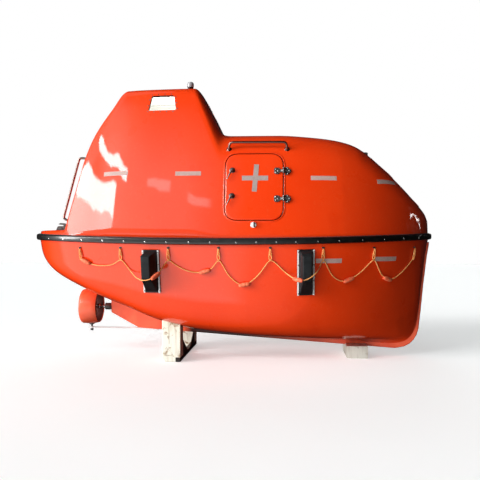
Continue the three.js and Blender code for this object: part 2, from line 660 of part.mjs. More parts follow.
function handle(matrix, u, v, turn) {
  const boss = cylinder(27, local(matrix, u, v, -12), local(matrix, u, v, 34), 14, 20);
  const grip = new THREE.Matrix4().multiplyMatrices(matrix, new THREE.Matrix4().makeRotationZ(turn).setPosition(u, v, 0));
  const lever = prism(roundedQuad([[-16, -12], [132, -8], [132, 8], [-16, 12]], 7), 30, 44, grip);
  return onCanopy(joined(boss, lever));
}

// A rail on two feet, rise out from the skin. lift: how much further up the skin its bar lies than its feet.
function handrail(matrix, feet, rise, lift = 0, radius = 14) {
  const [from, to] = feet;
  const along = new THREE.Vector2(...to).sub(new THREE.Vector2(...from)).normalize();
  const point = (end, inward, up, n) => local(matrix, end[0] + along.x * inward, end[1] + along.y * inward + up, n);
  const points = [
    point(from, 0, 0, -35), point(from, 0, lift * 0.35, rise * 0.45), point(from, 12, lift * 0.85, rise * 0.85),
    point(from, 45, lift, rise), point(to, -45, lift, rise), point(to, -12, lift * 0.85, rise * 0.85),
    point(to, 0, lift * 0.35, rise * 0.45), point(to, 0, 0, -35),
  ];
  return onCanopy(tube(points, radius, 22));
}

// Stern gear

function buildNozzle() {
  const profile = [
    [200, -105], [211, -112], [222, -95], [224, -40], [218, 60], [208, 108], [201, 108], [200, 60], [200, -105],
  ].map(([radius, along]) => new THREE.Vector2(radius, along));
  const ring = new THREE.LatheGeometry(profile, 32);
  ring.rotateZ(Math.PI / 2).translate(NOZZLE_X, 0, SHAFT_Z);
  const stock = cylinder(20, [NOZZLE_X, 0, SHAFT_Z + 212], [NOZZLE_X, 0, 836 - SEAT_GAP], 16);
  const headFlange = cylinder(46, [NOZZLE_X, 0, SHAFT_Z + 210], [NOZZLE_X, 0, SHAFT_Z + 232], 16);
  const heel = cylinder(34, [NOZZLE_X, 0, SHAFT_Z - 210], [NOZZLE_X, 0, SHAFT_Z - 236], 16);
  const pintle = cylinder(14, [NOZZLE_X, 0, SHAFT_Z - 230], [NOZZLE_X, 0, 296], 16);
  return joined(solidOf(ring), stock, headFlange, heel, pintle);
}

const BLADES = 4;

function buildPropeller() {
  const hub = new THREE.LatheGeometry(
    [[0, -62], [34, -58], [40, -20], [40, 30], [30, 62], [12, 84], [0, 88]].map(([r, a]) => new THREE.Vector2(r, a)), 16,
  );
  hub.rotateZ(Math.PI / 2).translate(NOZZLE_X, 0, SHAFT_Z);
  const outline = roundedQuad([[-34, 25], [34, 25], [66, 150], [-54, 178]], 46);
  const blades = Array.from({ length: BLADES }, (_, i) => {
    const blade = new THREE.ExtrudeGeometry(outline, { depth: 9, bevelEnabled: false, curveSegments: 4 });
    blade.translate(0, 0, -4.5).rotateX(Math.PI / 2).rotateZ(THREE.MathUtils.degToRad(56));
    blade.rotateX((2 * Math.PI * i) / BLADES).translate(NOZZLE_X, 0, SHAFT_Z);
    return solidOf(blade);
  });
  const shaft = cylinder(21, [NOZZLE_X + 40, 0, SHAFT_Z], [-1579, 0, SHAFT_Z], 16);
  return joined(solidOf(hub), shaft, ...blades);
}

function buildSternTube() {
  const profile = [[21.8, -4], [44, -4], [44, 60], [36, 78], [21.8, 78], [21.8, -4]].map(([r, a]) => new THREE.Vector2(r, a));
  const ring = new THREE.LatheGeometry(profile, 20);
  return solidOf(ring.rotateZ(Math.PI / 2).translate(-1578.5, 0, SHAFT_Z));
}

function buildSolePiece() {
  const drop = keelLine(-1215) - SEAT_GAP;
  const front = keelLine(-960) - SEAT_GAP;
  const profile = polygon([[-1885, 316], [-1215, drop], [-960, front], [-960, front - 12], [-1215, drop - 12], [-1885, 304]]);
  const bar = prism(profile, 0, 56, place([0, 28, 0], [1, 0, 0], [0, 0, 1]));
  return bar.subtract(cylinder(15, [NOZZLE_X, 0, 250], [NOZZLE_X, 0, 360], 16));
}

// Fender skates on the sides

const SKATES = { aft: { x: -830, low: 852, high: 1341 }, forward: { x: 912, low: 832, high: 1347 } };
const SKATE = { plateWidth: 194, plate: 8, block: 144, face: 88, out: 204, shift: 12 };

function skate({ x, low, high }) {
  const [yLow, yHigh] = [sideAt(x, low), sideAt(x, high)];
  const middle = (low + high) / 2;
  const swing = (sideAt(x + 100, middle) - sideAt(x - 100, middle)) / 200;
  const up = new THREE.Vector3(0, yLow - yHigh, high - low).normalize();
  const along = new THREE.Vector3(1, -swing, 0);
  along.addScaledVector(up, -along.dot(up)).normalize();
  const matrix = place([x, -(yLow + yHigh) / 2, middle], along.toArray(), up.toArray());
  const height = Math.hypot(yHigh - yLow, high - low);
  const half = height / 2;
  const plateTop = 14 + SKATE.plate;
  const outline = roundedBox(SKATE.plateWidth, height, 8);
  const plate = onHull(prism(outline, -40, plateTop, matrix));
  const levels = [
    { n: plateTop + SEAT_GAP, width: SKATE.block, shift: 0, low: -half + 16, high: half - 14 },
    { n: plateTop + 30, width: SKATE.block - 6, shift: 0, low: -half + 40, high: half - 18 },
    { n: SKATE.out - 20, width: SKATE.face + 22, shift: SKATE.shift, low: -half + 190, high: half - 30 },
    { n: SKATE.out, width: SKATE.face, shift: SKATE.shift, low: -half + 214, high: half - 44 },
  ];
  const block = loft(levels.map(({ n, width, shift, low: v0, high: v1 }) => [
    [-width / 2, v0], [width / 2, v0], [width / 2, v1], [-width / 2, v1],
  ].map(([u, v]) => local(matrix, u - shift, v, n))));
  return { plate, block };
}

// Cabin fittings

const BENCH = { aft: -560, forward: 1650, top: 960, width: 400 };

function bench() {
  const cavity = hullInside(SEAT_GAP);
  const slab = box([BENCH.aft, -1100, 500], [BENCH.forward, -HULL_HALF_BEAM + HULL_WALL + BENCH.width, BENCH.top]);
  return slab.intersect(cavity);
}

const ENGINE = { aft: -1180, forward: -620, half: 230, top: 1080 };
const ENGINE_FEET = SOLE_LIFT + 560;   // top of the engine bed

function buildEngine() {
  return box([ENGINE.aft, -ENGINE.half, 0], [ENGINE.forward, ENGINE.half, ENGINE.top]).intersect(hullInside(SEAT_GAP));
}

function buildHelmSeat() {
  const profile = polygon([
    [-1130, 1080], [-830, 1080], [-850, 1700], [-800, 2130], [-720, 2170], [-735, 2250], [-1090, 2230],
    [-1190, 2760], [-1260, 2740], [-1180, 2180],
  ].map(([x, z]) => [x, z + SEAT_GAP]));
  return prism(profile, 0, 420, place([0, 210, 0], [1, 0, 0], [0, 0, 1]));
}

// Masthead lamp on the tower

function buildLamp() {
  const [x, base] = [-540, 3302];
  const profile = [[0, -12], [52, -12], [50, 8], [22, 62], [22, 82], [38, 86], [40, 104], [44, 118], [42, 156],
    [30, 180], [0, 188]].map(([r, z]) => new THREE.Vector2(r, z));
  const body = new THREE.LatheGeometry(profile, 16).rotateX(Math.PI / 2).translate(x, 0, base);
  return onCanopy(solidOf(body));
}

// Cradle: an upright block each side, a beam on the floor that ties them together, and a low chock forward

const POST = { x: -668, length: 222, outer: 650, inner: 460, chamfer: 33, toe: 50 };
const BEAM = { width: 60, height: 55, half: 652, gusset: 12, gussetTop: 240, gussetEnd: 110 };
const CHOCK = { x: 1560, length: 260, half: 260, top: 150 };
const beamFront = POST.x + POST.length / 2;

function beamBar(grow = 0) {
  return box(
    [beamFront - BEAM.width - grow, -BEAM.half - grow, 0],
    [beamFront + grow, BEAM.half + grow, BEAM.height + grow],
  );
}

// The beam carries a tapered gusset against the inner face of each block.
function beam() {
  const inner = POST.inner - SEAT_GAP;
  const profile = polygon([[inner, 30], [inner, BEAM.gussetTop], [BEAM.gussetEnd, BEAM.height], [BEAM.gussetEnd, 30]]);
  const gusset = prism(profile, 0, BEAM.gusset, place([beamFront - BEAM.gusset, 0, 0], [0, 1, 0], [0, 0, 1]));
  return joined(beamBar(), gusset, mirrored(gusset));
}

function post() {
  const [aft, front] = [POST.x - POST.length / 2, POST.x + POST.length / 2];
  const profile = polygon([
    [aft + POST.chamfer, 0], [front - POST.chamfer, 0], [front, POST.toe], [front, 700], [aft, 700], [aft, POST.toe],
  ]);
  const block = prism(profile, 0, POST.outer - POST.inner, place([0, -POST.inner, 0], [1, 0, 0], [0, 0, 1]));
  return block.subtract(hullGrown).subtract(beamBar(SEAT_GAP));
}

// The chock has a notch for the keel and flanks that follow the bottom.
function chock() {
  const low = [CHOCK.x - CHOCK.length / 2, -CHOCK.half, 0];
  const high = [CHOCK.x + CHOCK.length / 2, CHOCK.half, CHOCK.top];
  const notch = buildKeelBar(SEAT_GAP);
  return box(low, high).subtract(hullGrown).subtract(notch);
}

// Assembly

add('hull', buildHull(), 'orange');
add('keel', buildKeel(), 'orange');
add('canopy', buildCanopy(), 'orange');
add('gunwale_fender', buildFender(), 'rubber');
addPair('lifeline', lifeline(), 'rope');

const DOOR_HINGES = [184, -151];
const doorHinge = hingePlace(doorPlace, DOOR.width / 2 + DOOR_GAP / 2, 0);
addPair('door', joined(panel(DOOR, doorPlace), ...DOOR_HINGES.map((v) => hingeLeaf(doorHinge, v))), 'orange');
DOOR_HINGES.forEach((v, i) => addPair(
  'door_hinge', onCanopy(joined(hingeBracket(doorHinge, v), hingePin(doorHinge, v, v))), 'steel', `_${i + 1}`,
));
addPair('door_handle', handle(doorPlace, -255, 195, THREE.MathUtils.degToRad(-115)), 'steel', '_upper');
addPair('door_handle', handle(doorPlace, -253, -115, THREE.MathUtils.degToRad(-117)), 'steel', '_lower');
addPair('door_rail', handrail(doorPlace, [[-300, 464], [372, 464]], 66, 45), 'steel');

for (const [name, hatch] of Object.entries(HATCHES)) {
  const at = hingePlace(hatch.at, ...hatch.hinge);
  const leaves = [-hatch.spread, hatch.spread].map((v) => hingeLeaf(at, v));
  const brackets = [-hatch.spread, hatch.spread].map((v) => hingeBracket(at, v));
  add(name, joined(panel(hatch, hatch.at), ...leaves), 'orange');
  add(`${name}_hinge`, onCanopy(joined(...brackets, hingePin(at, -hatch.spread, hatch.spread))), 'steel');
}
addPair('window', pane(SIDE_WINDOW.corners, sideWindowPlace), 'glass');
for (const [name, { at, corners }] of Object.entries(WINDOWS)) add(`window_${name}`, pane(corners, at), 'glass');
addPair('aft_rail', handrail(HATCHES.aft_hatch.at, [[640, -440], [545, 338]], 88), 'steel');
add('lamp', buildLamp(), 'rubber');

add('nozzle', buildNozzle(), 'orange');
add('propeller', buildPropeller(), 'bronze');
add('sole_piece', buildSolePiece(), 'steel');
for (const [name, spec] of Object.entries(SKATES)) {
  const { plate, block } = skate(spec);
  addPair('skate_plate', plate, 'steel', `_${name}`);
  addPair('skate_block', block, 'rubber', `_${name}`);
}
add('hook_aft', onCanopy(hook(HOOK.aft, 1560, 112)), 'steel');
add('hook_forward', hook(HOOK.forward, 1700 + SEAT_GAP, 240), 'steel');

addPair('bench', bench(), 'innerWhite');
add('engine', buildEngine(), 'engine');
add('helm_seat', buildHelmSeat(), 'innerWhite');

addPair('cradle_block', post(), 'cream');
add('cradle_beam', beam(), 'darkSteel');
add('cradle_chock', chock(), 'cream');

export default lifeboat;
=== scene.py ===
# Enclosed lifeboat of 5 m on its cradle, in metres: +X forward, +Y port, +Z up, floor at z = 0.
import math

import bmesh
import bpy
import numpy as np
from mathutils import Matrix, Vector
from mathutils.bvhtree import BVHTree


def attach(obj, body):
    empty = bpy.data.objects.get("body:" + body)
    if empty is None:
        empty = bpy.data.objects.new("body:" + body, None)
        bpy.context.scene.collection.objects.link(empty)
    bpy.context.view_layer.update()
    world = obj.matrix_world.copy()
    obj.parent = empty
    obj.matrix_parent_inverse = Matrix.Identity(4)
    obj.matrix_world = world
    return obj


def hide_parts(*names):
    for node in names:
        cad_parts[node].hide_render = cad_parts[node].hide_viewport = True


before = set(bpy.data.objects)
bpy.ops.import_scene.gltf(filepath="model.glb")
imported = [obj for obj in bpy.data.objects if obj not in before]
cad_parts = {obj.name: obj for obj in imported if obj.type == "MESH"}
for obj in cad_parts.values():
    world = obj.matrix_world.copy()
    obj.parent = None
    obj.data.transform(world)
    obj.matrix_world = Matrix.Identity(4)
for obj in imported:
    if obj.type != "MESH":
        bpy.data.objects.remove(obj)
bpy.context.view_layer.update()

# Driving dimensions
HULL_HALF_LENGTH = 2.46
HULL_HALF_BEAM = 1.06
MIDDLE_BODY = 0.2
SHEER_MIDDLE = 1.434
SHEER_RISE = 0.062
CANOPY_INSET = 0.012
LEAN = math.radians(15)
WALL = 0.045
HULL_WALL = 0.08
FENDER_HEIGHT, FENDER_DEPTH = 0.08, 0.04
KEEL_MIDDLE, KEEL_SLOPE, KEEL_HALF = 0.234, -0.0683, 0.03
SHAFT_Z, NOZZLE_X = 0.588, -1.841
DOOR_GAP = 0.008
INSIDE_AFT, INSIDE_FORWARD = -1.828, 2.29
SEAT_GAP = 0.0003
GUNWALE_END, CANOPY_END = 2.457, 2.450
SKEG_FOOT_X = -1.215
HOOK_WELL_X, HOOK_WELL = 2.2, (0.25, 0.18, 0.03)

# Hull sections: x, keel, bilge (height of the bilge corner), share (its half-breadth over the gunwale's)
HULL = [
    (-2.457, 1.400, 1.398, 0.70), (-2.436, 1.340, 1.336, 0.72), (-2.385, 1.255, 1.248, 0.74),
    (-2.300, 1.160, 1.150, 0.76), (-2.170, 1.062, 1.050, 0.78), (-2.010, 0.975, 0.963, 0.79),
    (-1.830, 0.893, 0.882, 0.80), (-1.580, 0.782, 0.774, 0.81), (-1.250, 0.645, 0.655, 0.82),
    (-0.850, 0.465, 0.505, 0.82), (-0.400, 0.335, 0.415, 0.82), (0.100, 0.272, 0.368, 0.82),
    (0.600, 0.234, 0.340, 0.80), (1.100, 0.200, 0.325, 0.75), (1.500, 0.173, 0.320, 0.68),
    (1.800, 0.153, 0.325, 0.59), (2.030, 0.138, 0.340, 0.48), (2.150, 0.150, 0.365, 0.40),
    (2.250, 0.210, 0.430, 0.33), (2.310, 0.330, 0.540, 0.30), (2.345, 0.580, 0.740, 0.32),
    (2.376, 0.870, 1.000, 0.40), (2.415, 1.220, 1.290, 0.52), (2.440, 1.380, 1.410, 0.62),
    (2.457, 1.440, 1.450, 0.70),
]
# Canopy sections: x, top (roof on the centreline), corner (shoulder set-back), crown (rise of the roof)
CANOPY = [
    (-2.450, 1.548, 0.018, 0.004), (-2.425, 1.562, 0.025, 0.006), (-2.350, 1.572, 0.030, 0.009),
    (-2.180, 1.577, 0.034, 0.011), (-1.926, 1.580, 0.036, 0.012), (-1.914, 1.625, 0.060, 0.016),
    (-1.902, 1.690, 0.080, 0.022), (-1.877, 1.819, 0.090, 0.026), (-1.805, 2.130, 0.090, 0.026),
    (-1.730, 2.455, 0.085, 0.026), (-1.637, 2.712, 0.080, 0.026), (-1.548, 2.872, 0.078, 0.025),
    (-1.406, 3.083, 0.078, 0.024), (-1.285, 3.262, 0.080, 0.022), (-1.238, 3.291, 0.084, 0.022),
    (-0.800, 3.300, 0.090, 0.022), (-0.405, 3.304, 0.105, 0.022), (-0.364, 3.283, 0.125, 0.028),
    (-0.325, 3.222, 0.155, 0.030), (-0.191, 2.965, 0.220, 0.036), (-0.118, 2.820, 0.245, 0.044),
    (-0.084, 2.770, 0.250, 0.054), (-0.045, 2.742, 0.250, 0.062), (0.030, 2.735, 0.250, 0.070),
    (0.600, 2.733, 0.250, 0.072), (1.000, 2.707, 0.245, 0.072), (1.250, 2.676, 0.240, 0.070),
    (1.430, 2.634, 0.235, 0.068), (1.540, 2.588, 0.225, 0.064), (1.640, 2.522, 0.235, 0.062),
    (1.850, 2.344, 0.230, 0.058), (2.100, 2.108, 0.195, 0.050), (2.260, 1.944, 0.155, 0.040),
    (2.360, 1.838, 0.120, 0.028), (2.415, 1.768, 0.080, 0.020), (2.450, 1.690, 0.040, 0.010),
]

# Surfaces


def smooth_curve(xs, ys):
    """A curve through the stations that never overshoots them."""
    xs, ys = np.array(xs), np.array(ys)
    steps = np.diff(xs)
    slopes = np.diff(ys) / steps
    tangents = np.empty(len(xs))
    tangents[0], tangents[-1] = slopes[0], slopes[-1]
    for i in range(1, len(xs) - 1):
        before, after = slopes[i - 1], slopes[i]
        if before * after <= 0:
            tangents[i] = 0
            continue
        w1, w2 = 2 * steps[i] + steps[i - 1], steps[i] + 2 * steps[i - 1]
        tangents[i] = (w1 + w2) / (w1 / before + w2 / after)

    def at(x):
        x = min(max(x, xs[0]), xs[-1])
        i = min(int(np.searchsorted(xs, x, side="right")) - 1, len(steps) - 1)
        t = (x - xs[i]) / steps[i]
        a = (1 + 2 * t) * (1 - t) ** 2 * ys[i] + t * (1 - t) ** 2 * steps[i] * tangents[i]
        b = t * t * (3 - 2 * t) * ys[i + 1] + t * t * (t - 1) * steps[i] * tangents[i + 1]
        return float(a + b)

    return at


def columns(table, names):
    xs = [row[0] for row in table]
    return {name: smooth_curve(xs, [row[i + 1] for row in table]) for i, name in enumerate(names)}


hull_at = columns(HULL, ("keel", "bilge", "share"))
canopy_at = columns(CANOPY, ("top", "corner", "crown"))


def half_breadth(x):
    power, root = (2.6, 1.6) if x > 0 else (3.2, 2.2)
    t = (abs(x) - MIDDLE_BODY) / (HULL_HALF_LENGTH - MIDDLE_BODY)
    t = min(max(t, 0), 1)
    return HULL_HALF_BEAM * (1 - t ** power) ** (1 / root)


def sheer(x):
    return SHEER_MIDDLE + SHEER_RISE * (x / HULL_HALF_LENGTH) ** 2


def keel_line(x):
    return KEEL_MIDDLE + KEEL_SLOPE * x


def mix(a, b, t):
    return tuple(p + (q - p) * t for p, q in zip(a, b))


def line(a, b, steps):
    return [mix(a, b, i / steps) for i in range(steps)]


def rounded(start, corner, end, steps):
    return [mix(mix(start, corner, t), mix(corner, end, t), t) for t in (i / steps for i in range(steps + 1))]


def hull_half(x):
    """Half of a hull section from the keel to the gunwale, as (half-breadth, z)."""
    breadth = half_breadth(x)
    corner = (breadth * hull_at["share"](x), hull_at["bilge"](x))
    foot = (0, hull_at["keel"](x))
    top = (breadth, sheer(x))
    low, high = mix(corner, foot, 0.42), mix(corner, top, 0.42)
    return line(foot, low, 8) + rounded(low, corner, high, 10)[:-1] + line(high, top, 12) + [top]


def side_at(x, z):
    """The hull's half-breadth at a height."""
    half = hull_half(x)
    for (y0, z0), (y1, z1) in zip(half, half[1:]):
        if z1 >= z:
            return y0 + (y1 - y0) * (z - z0) / (z1 - z0)
    return half[-1][0]


def canopy_side(x, z):
    return half_breadth(x) - CANOPY_INSET - math.tan(LEAN) * (z - sheer(x))


def canopy_half(x, taken=0.0, foot_lift=SEAT_GAP):
    """Half of a canopy section from its foot to the top. taken: how far inside the skin it lies."""
    top = min(canopy_at["top"](at) for at in (x - taken, x, x + taken)) - taken
    foot_z = sheer(x) + foot_lift
    crown = canopy_at["crown"](x)
    shoulder_z = top - crown
    shoulder = max(0.02, canopy_side(x, shoulder_z) - taken / math.cos(LEAN))
    foot = (max(0.022, canopy_side(x, foot_z) - taken / math.cos(LEAN)), foot_z)
    corner = min(canopy_at["corner"](x), 0.7 * shoulder, 0.7 * (shoulder_z - foot_z))
    lower = (shoulder + math.tan(LEAN) * corner, shoulder_z - corner)
    inner = (shoulder - corner) / shoulder
    start = (shoulder * inner, top - crown * inner ** 2)
    roof = [(shoulder * inner * s, top - crown * (inner * s) ** 2) for s in np.linspace(1, 0, 11)]
    return line(foot, lower, 12) + rounded(lower, (shoulder, shoulder_z), start, 12)[:-1] + roof


def even_stations(low, high, step, *profiles):
    """x values that lie evenly along the profiles, however steep they are."""
    xs = np.linspace(low, high, 4000)
    moves = sum(np.diff([profile(x) for x in xs]) ** 2 for profile in profiles)
    length = np.concatenate([[0], np.cumsum(np.sqrt(np.diff(xs) ** 2 + moves))])
    return np.interp(np.linspace(0, length[-1], int(length[-1] / step) + 1), length, xs)


def ring_from_middle(x, half):
    """A ring over both sides, from a half section that starts on the centreline."""
    return [(x, -y, z) for y, z in half[::-1]] + [(x, y, z) for y, z in half[1:]]


def canopy_rings(stations, taken=0.0, foot_lift=SEAT_GAP):
    return [ring_from_middle(x, canopy_half(x, taken, foot_lift)[::-1]) for x in stations]


def hull_rings(stations):
    return [ring_from_middle(x, hull_half(x)) for x in stations]


# Meshes


class Builder:
    """Collects parts into one mesh."""

    def __init__(self):
        self.verts, self.faces, self.slots = [], [], []

    def add(self, verts, faces, slots=None):
        start = len(self.verts)
        self.verts += [tuple(v) for v in verts]
        self.faces += [tuple(start + i for i in face) for face in faces]
        self.slots += slots or [0] * len(faces)
        return self

    def join(self, other):
        return self.add(other.verts, other.faces, other.slots)

    def rings(self, rings, slot=0, closed=False):
        """Skins rings of equal counts, and caps the ends or, where closed, joins the last to the first.
        slot may be a list, with one slot for each band between two rings."""
        count = len(rings[0])
        faces, slots = [], []
        for i in range(len(rings) if closed else len(rings) - 1):
            a, b = i * count, ((i + 1) % len(rings)) * count
            faces += [(a + j, a + (j + 1) % count, b + (j + 1) % count, b + j) for j in range(count)]
            slots += [slot[i] if isinstance(slot, list) else slot] * count
        if not closed:
            faces += [tuple(range(count))[::-1], tuple((len(rings) - 1) * count + j for j in range(count))]
            slots += [slots[0], slots[-1]]
        return self.add([v for ring in rings for v in ring], faces, slots)

    def slab(self, outline, low, high, bevel, at):
        """A plate between two levels, with its upper and lower edges eased."""
        inner = inset(outline, bevel)
        levels = [(inner, low), (outline, low + bevel), (outline, high - bevel), (inner, high)]
        return self.rings([[at @ Vector((u, v, n)) for u, v in points] for points, n in levels])

    def lathe(self, profile, at, steps, slot=0, closed=False):
        """Turns (radius, height) about the place's n axis."""
        turns = [2 * math.pi * i / steps for i in range(steps)]
        return self.rings([[at @ Vector((r * math.cos(a), r * math.sin(a), n)) for a in turns]
                           for r, n in profile], slot, closed)

    def studs(self, profile, at, radius, angles, n, steps):
        """Small heads in a circle about a place."""
        for angle in angles:
            self.lathe(profile, shifted(at, radius * math.cos(angle), radius * math.sin(angle), n), steps)
        return self

    def tube(self, path, radius, sides):
        return self.rings(list(swept(path, circle(radius, sides))))

    def mirrored(self):
        other = Builder()
        other.verts = [(x, -y, z) for x, y, z in self.verts]
        other.faces = [face[::-1] for face in self.faces]
        other.slots = list(self.slots)
        return other

    def mesh(self, name):
        """A mesh whose faces look outwards."""
        mesh = bpy.data.meshes.new(name)
        mesh.from_pydata(self.verts, [], self.faces)
        mesh.polygons.foreach_set("material_index", self.slots)
        work = bmesh.new()
        work.from_mesh(mesh)
        bmesh.ops.recalc_face_normals(work, faces=work.faces)
        work.to_mesh(mesh)
        work.free()
        return mesh

    def make(self, name, materials, body="boat", replaces=(), smooth=35):
        return place_piece(name, self.mesh(name), materials, body, replaces, smooth)


def linked(name, data):
    """A new object in the scene."""
    item = bpy.data.objects.new(name, data)
    bpy.context.scene.collection.objects.link(item)
    return item


def place_piece(name, mesh, materials, body="boat", replaces=(), smooth=35):
    for item in materials if isinstance(materials, (list, tuple)) else [materials]:
        mesh.materials.append(item)
    if smooth:
        mesh.shade_smooth()
        mesh.set_sharp_from_angle(angle=math.radians(smooth))
    piece = linked(name, mesh)
    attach(piece, body)
    if replaces:
        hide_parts(*replaces)
    return piece


def pair(builder, name, materials, body="boat", replaces=(), smooth=35):
    """The starboard piece and its mirror image. A brace in a name takes the side."""
    for side, part in (("starboard", builder), ("port", builder.mirrored())):
        solids = [solid.format(side=side) for solid in replaces]
        part.make(name.format(side=side), materials, body.format(side=side), solids, smooth)


def circle(radius, sides):
    return [(radius * math.cos(2 * math.pi * i / sides), radius * math.sin(2 * math.pi * i / sides))
            for i in range(sides)]


def swept(path, section, closed=False):
    """Rings of a section carried along a path without twist."""
    points = [Vector(p) for p in path]
    count = len(points)
    tangents = []
    for i in range(count):
        before = points[i - 1] if closed or i else points[i]
        after = points[(i + 1) % count] if closed or i < count - 1 else points[i]
        tangents.append((after - before).normalized())
    side = tangents[0].orthogonal().normalized()
    for point, tangent in zip(points, tangents):
        side = (side - tangent * side.dot(tangent)).normalized()
        other = tangent.cross(side)
        yield [point + side * a + other * b for a, b in section]


def curve_through(points, spacing):
    """A centripetal Catmull-Rom curve, resampled evenly."""
    points = [Vector(p) for p in points]
    ends = [2 * points[0] - points[1], *points, 2 * points[-1] - points[-2]]
    dense = []
    for a, b, c, d in zip(ends, ends[1:], ends[2:], ends[3:]):
        t1 = (b - a).length ** 0.5
        t2 = t1 + (c - b).length ** 0.5
        t3 = t2 + (d - c).length ** 0.5
        for i in range(24):
            t = t1 + (t2 - t1) * i / 24
            ab, bc, cd = a.lerp(b, t / t1), b.lerp(c, (t - t1) / (t2 - t1)), c.lerp(d, (t - t2) / (t3 - t2))
            abc = ab.lerp(bc, t / t2)
            bcd = bc.lerp(cd, (t - t1) / (t3 - t1))
            dense.append(abc.lerp(bcd, (t - t1) / (t2 - t1)))
    dense.append(points[-1])
    lengths = np.concatenate([[0], np.cumsum([(q - p).length for p, q in zip(dense, dense[1:])])])
    wanted = np.linspace(0, lengths[-1], max(2, round(lengths[-1] / spacing) + 1))
    coords = np.array([tuple(p) for p in dense])
    return [Vector([np.interp(w, lengths, coords[:, axis]) for axis in range(3)]) for w in wanted]


def eased(path, rounds):
    """Relaxes the kinks of an evenly spaced path whose ends stay."""
    coords = np.array([tuple(p) for p in path])
    for _ in range(rounds):
        coords[1:-1] = 0.5 * coords[1:-1] + 0.25 * (coords[:-2] + coords[2:])
    return [Vector(p) for p in coords]


def filleted(points, radius, steps=6):
    """A path of straight runs with rounded corners."""
    points = [Vector(p) for p in points]
    path = [points[0]]
    for before, corner, after in zip(points, points[1:], points[2:]):
        reach = min(radius, (before - corner).length * 0.48, (after - corner).length * 0.48)
        start = corner + (before - corner).normalized() * reach
        end = corner + (after - corner).normalized() * reach
        for i in range(steps + 1):
            t = i / steps
            path.append(start.lerp(corner, t).lerp(corner.lerp(end, t), t))
    return path + [points[-1]]


def inset(outline, amount):
    """A closed outline moved inwards (or outwards if negative), whichever way it runs."""
    area = sum(a[0] * b[1] - b[0] * a[1] for a, b in zip(outline, outline[1:] + outline[:1]))
    turn = 1 if area > 0 else -1
    result = []
    count = len(outline)
    for i, point in enumerate(outline):
        before, after = outline[i - 1], outline[(i + 1) % count]
        direction = Vector((after[0] - before[0], after[1] - before[1])).normalized()
        result.append((point[0] - direction.y * turn * amount, point[1] + direction.x * turn * amount))
    return result


def rounded_quad(corners, radius, steps=8):
    outline = []
    count = len(corners)
    for i, corner in enumerate(corners):
        corner = Vector(corner)
        ends = []
        for step in (-1, 1):
            edge = Vector(corners[(i + step) % count]) - corner
            ends.append(corner + edge.normalized() * min(radius, edge.length * 0.45))
        outline += [tuple(ends[0].lerp(corner, t).lerp(corner.lerp(ends[1], t), t))
                    for t in np.linspace(0, 1, steps + 1)]
    return outline


def box_outline(u0, v0, u1, v1):
    return [(u0, v0), (u1, v0), (u1, v1), (u0, v1)]


def trapezium(foot, top, rise):
    """Four corners, from half the width at the foot and at the top, and half the height."""
    return [(-foot, -rise), (foot, -rise), (top, rise), (-top, rise)]


def rounded_box(width, height, radius, steps=8):
    return rounded_quad(box_outline(-width / 2, -height / 2, width / 2, height / 2), radius, steps)


def place(origin, u, v):
    u, v = Vector(u).normalized(), Vector(v).normalized()
    n = u.cross(v)
    return Matrix.Translation(origin) @ Matrix((u, v, n)).transposed().to_4x4()


def shifted(at, u=0.0, v=0.0, n=0.0, turn=0.0):
    return at @ Matrix.Translation((u, v, n)) @ Matrix.Rotation(turn, 4, "Z")


def facing_up(x, z):
    """A place on the centre plane: u forward, v to port, n up."""
    return place((x, 0, z), (1, 0, 0), (0, 1, 0))


def facing_forward(x, z=0.0):
    """A place on the centre plane: u to port, v up, n forward."""
    return place((x, 0, z), (0, 1, 0), (0, 0, 1))


def facing_starboard(y, x=0.0, z=0.0):
    """A place with u forward, v up and n to starboard."""
    return place((x, y, z), (1, 0, 0), (0, 0, 1))


LAY_REACH = 0.4


class Skin:
    """A smooth surface that outlines and strips are laid on."""

    def __init__(self, builder):
        mesh = builder.mesh("skin")
        work = bmesh.new()
        work.from_mesh(mesh)
        bmesh.ops.triangulate(work, faces=work.faces)
        work.normal_update()
        work.verts.ensure_lookup_table()
        work.faces.ensure_lookup_table()
        self.corners = [[v.index for v in face.verts] for face in work.faces]
        self.coords = [v.co.copy() for v in work.verts]
        self.normals = [v.normal.copy() for v in work.verts]
        self.tree = BVHTree.FromBMesh(work)
        work.free()
        bpy.data.meshes.remove(mesh)

    def normal(self, point):
        """The smooth normal of the nearest spot."""
        spot, _, index, _ = self.tree.find_nearest(point)
        a, b, c = self.corners[index]
        weights = barycentric(spot, self.coords[a], self.coords[b], self.coords[c])
        return sum((self.normals[i] * w for i, w in zip((a, b, c), weights)), Vector()).normalized()

    def lay(self, at, u, v, lift=0.0):
        """The point of the skin under (u, v) of a place, raised along the skin's normal."""
        axis = at.to_3x3() @ Vector((0, 0, 1))
        spot = self.tree.ray_cast(at @ Vector((u, v, LAY_REACH)), -axis, 2 * LAY_REACH)[0]
        if spot is None:
            spot = self.tree.find_nearest(at @ Vector((u, v, 0)))[0]
        return spot + self.normal(spot) * lift


def barycentric(p, a, b, c):
    e0, e1, e2 = b - a, c - a, p - a
    d00, d01, d11, d20, d21 = e0.dot(e0), e0.dot(e1), e1.dot(e1), e2.dot(e0), e2.dot(e1)
    bottom = d00 * d11 - d01 * d01 or 1e-12
    v = (d11 * d20 - d01 * d21) / bottom
    w = (d00 * d21 - d01 * d20) / bottom
    return 1 - v - w, v, w


# Materials


def node(tree, kind, inputs=(), **settings):
    """A node whose inputs are values or other nodes' outputs."""
    made = tree.nodes.new(kind)
    for key, value in settings.items():
        setattr(made, key, value)
    for socket, value in inputs:
        if isinstance(value, bpy.types.NodeSocket):
            tree.links.new(value, made.inputs[socket])
        else:
            made.inputs[socket].default_value = value
    return made


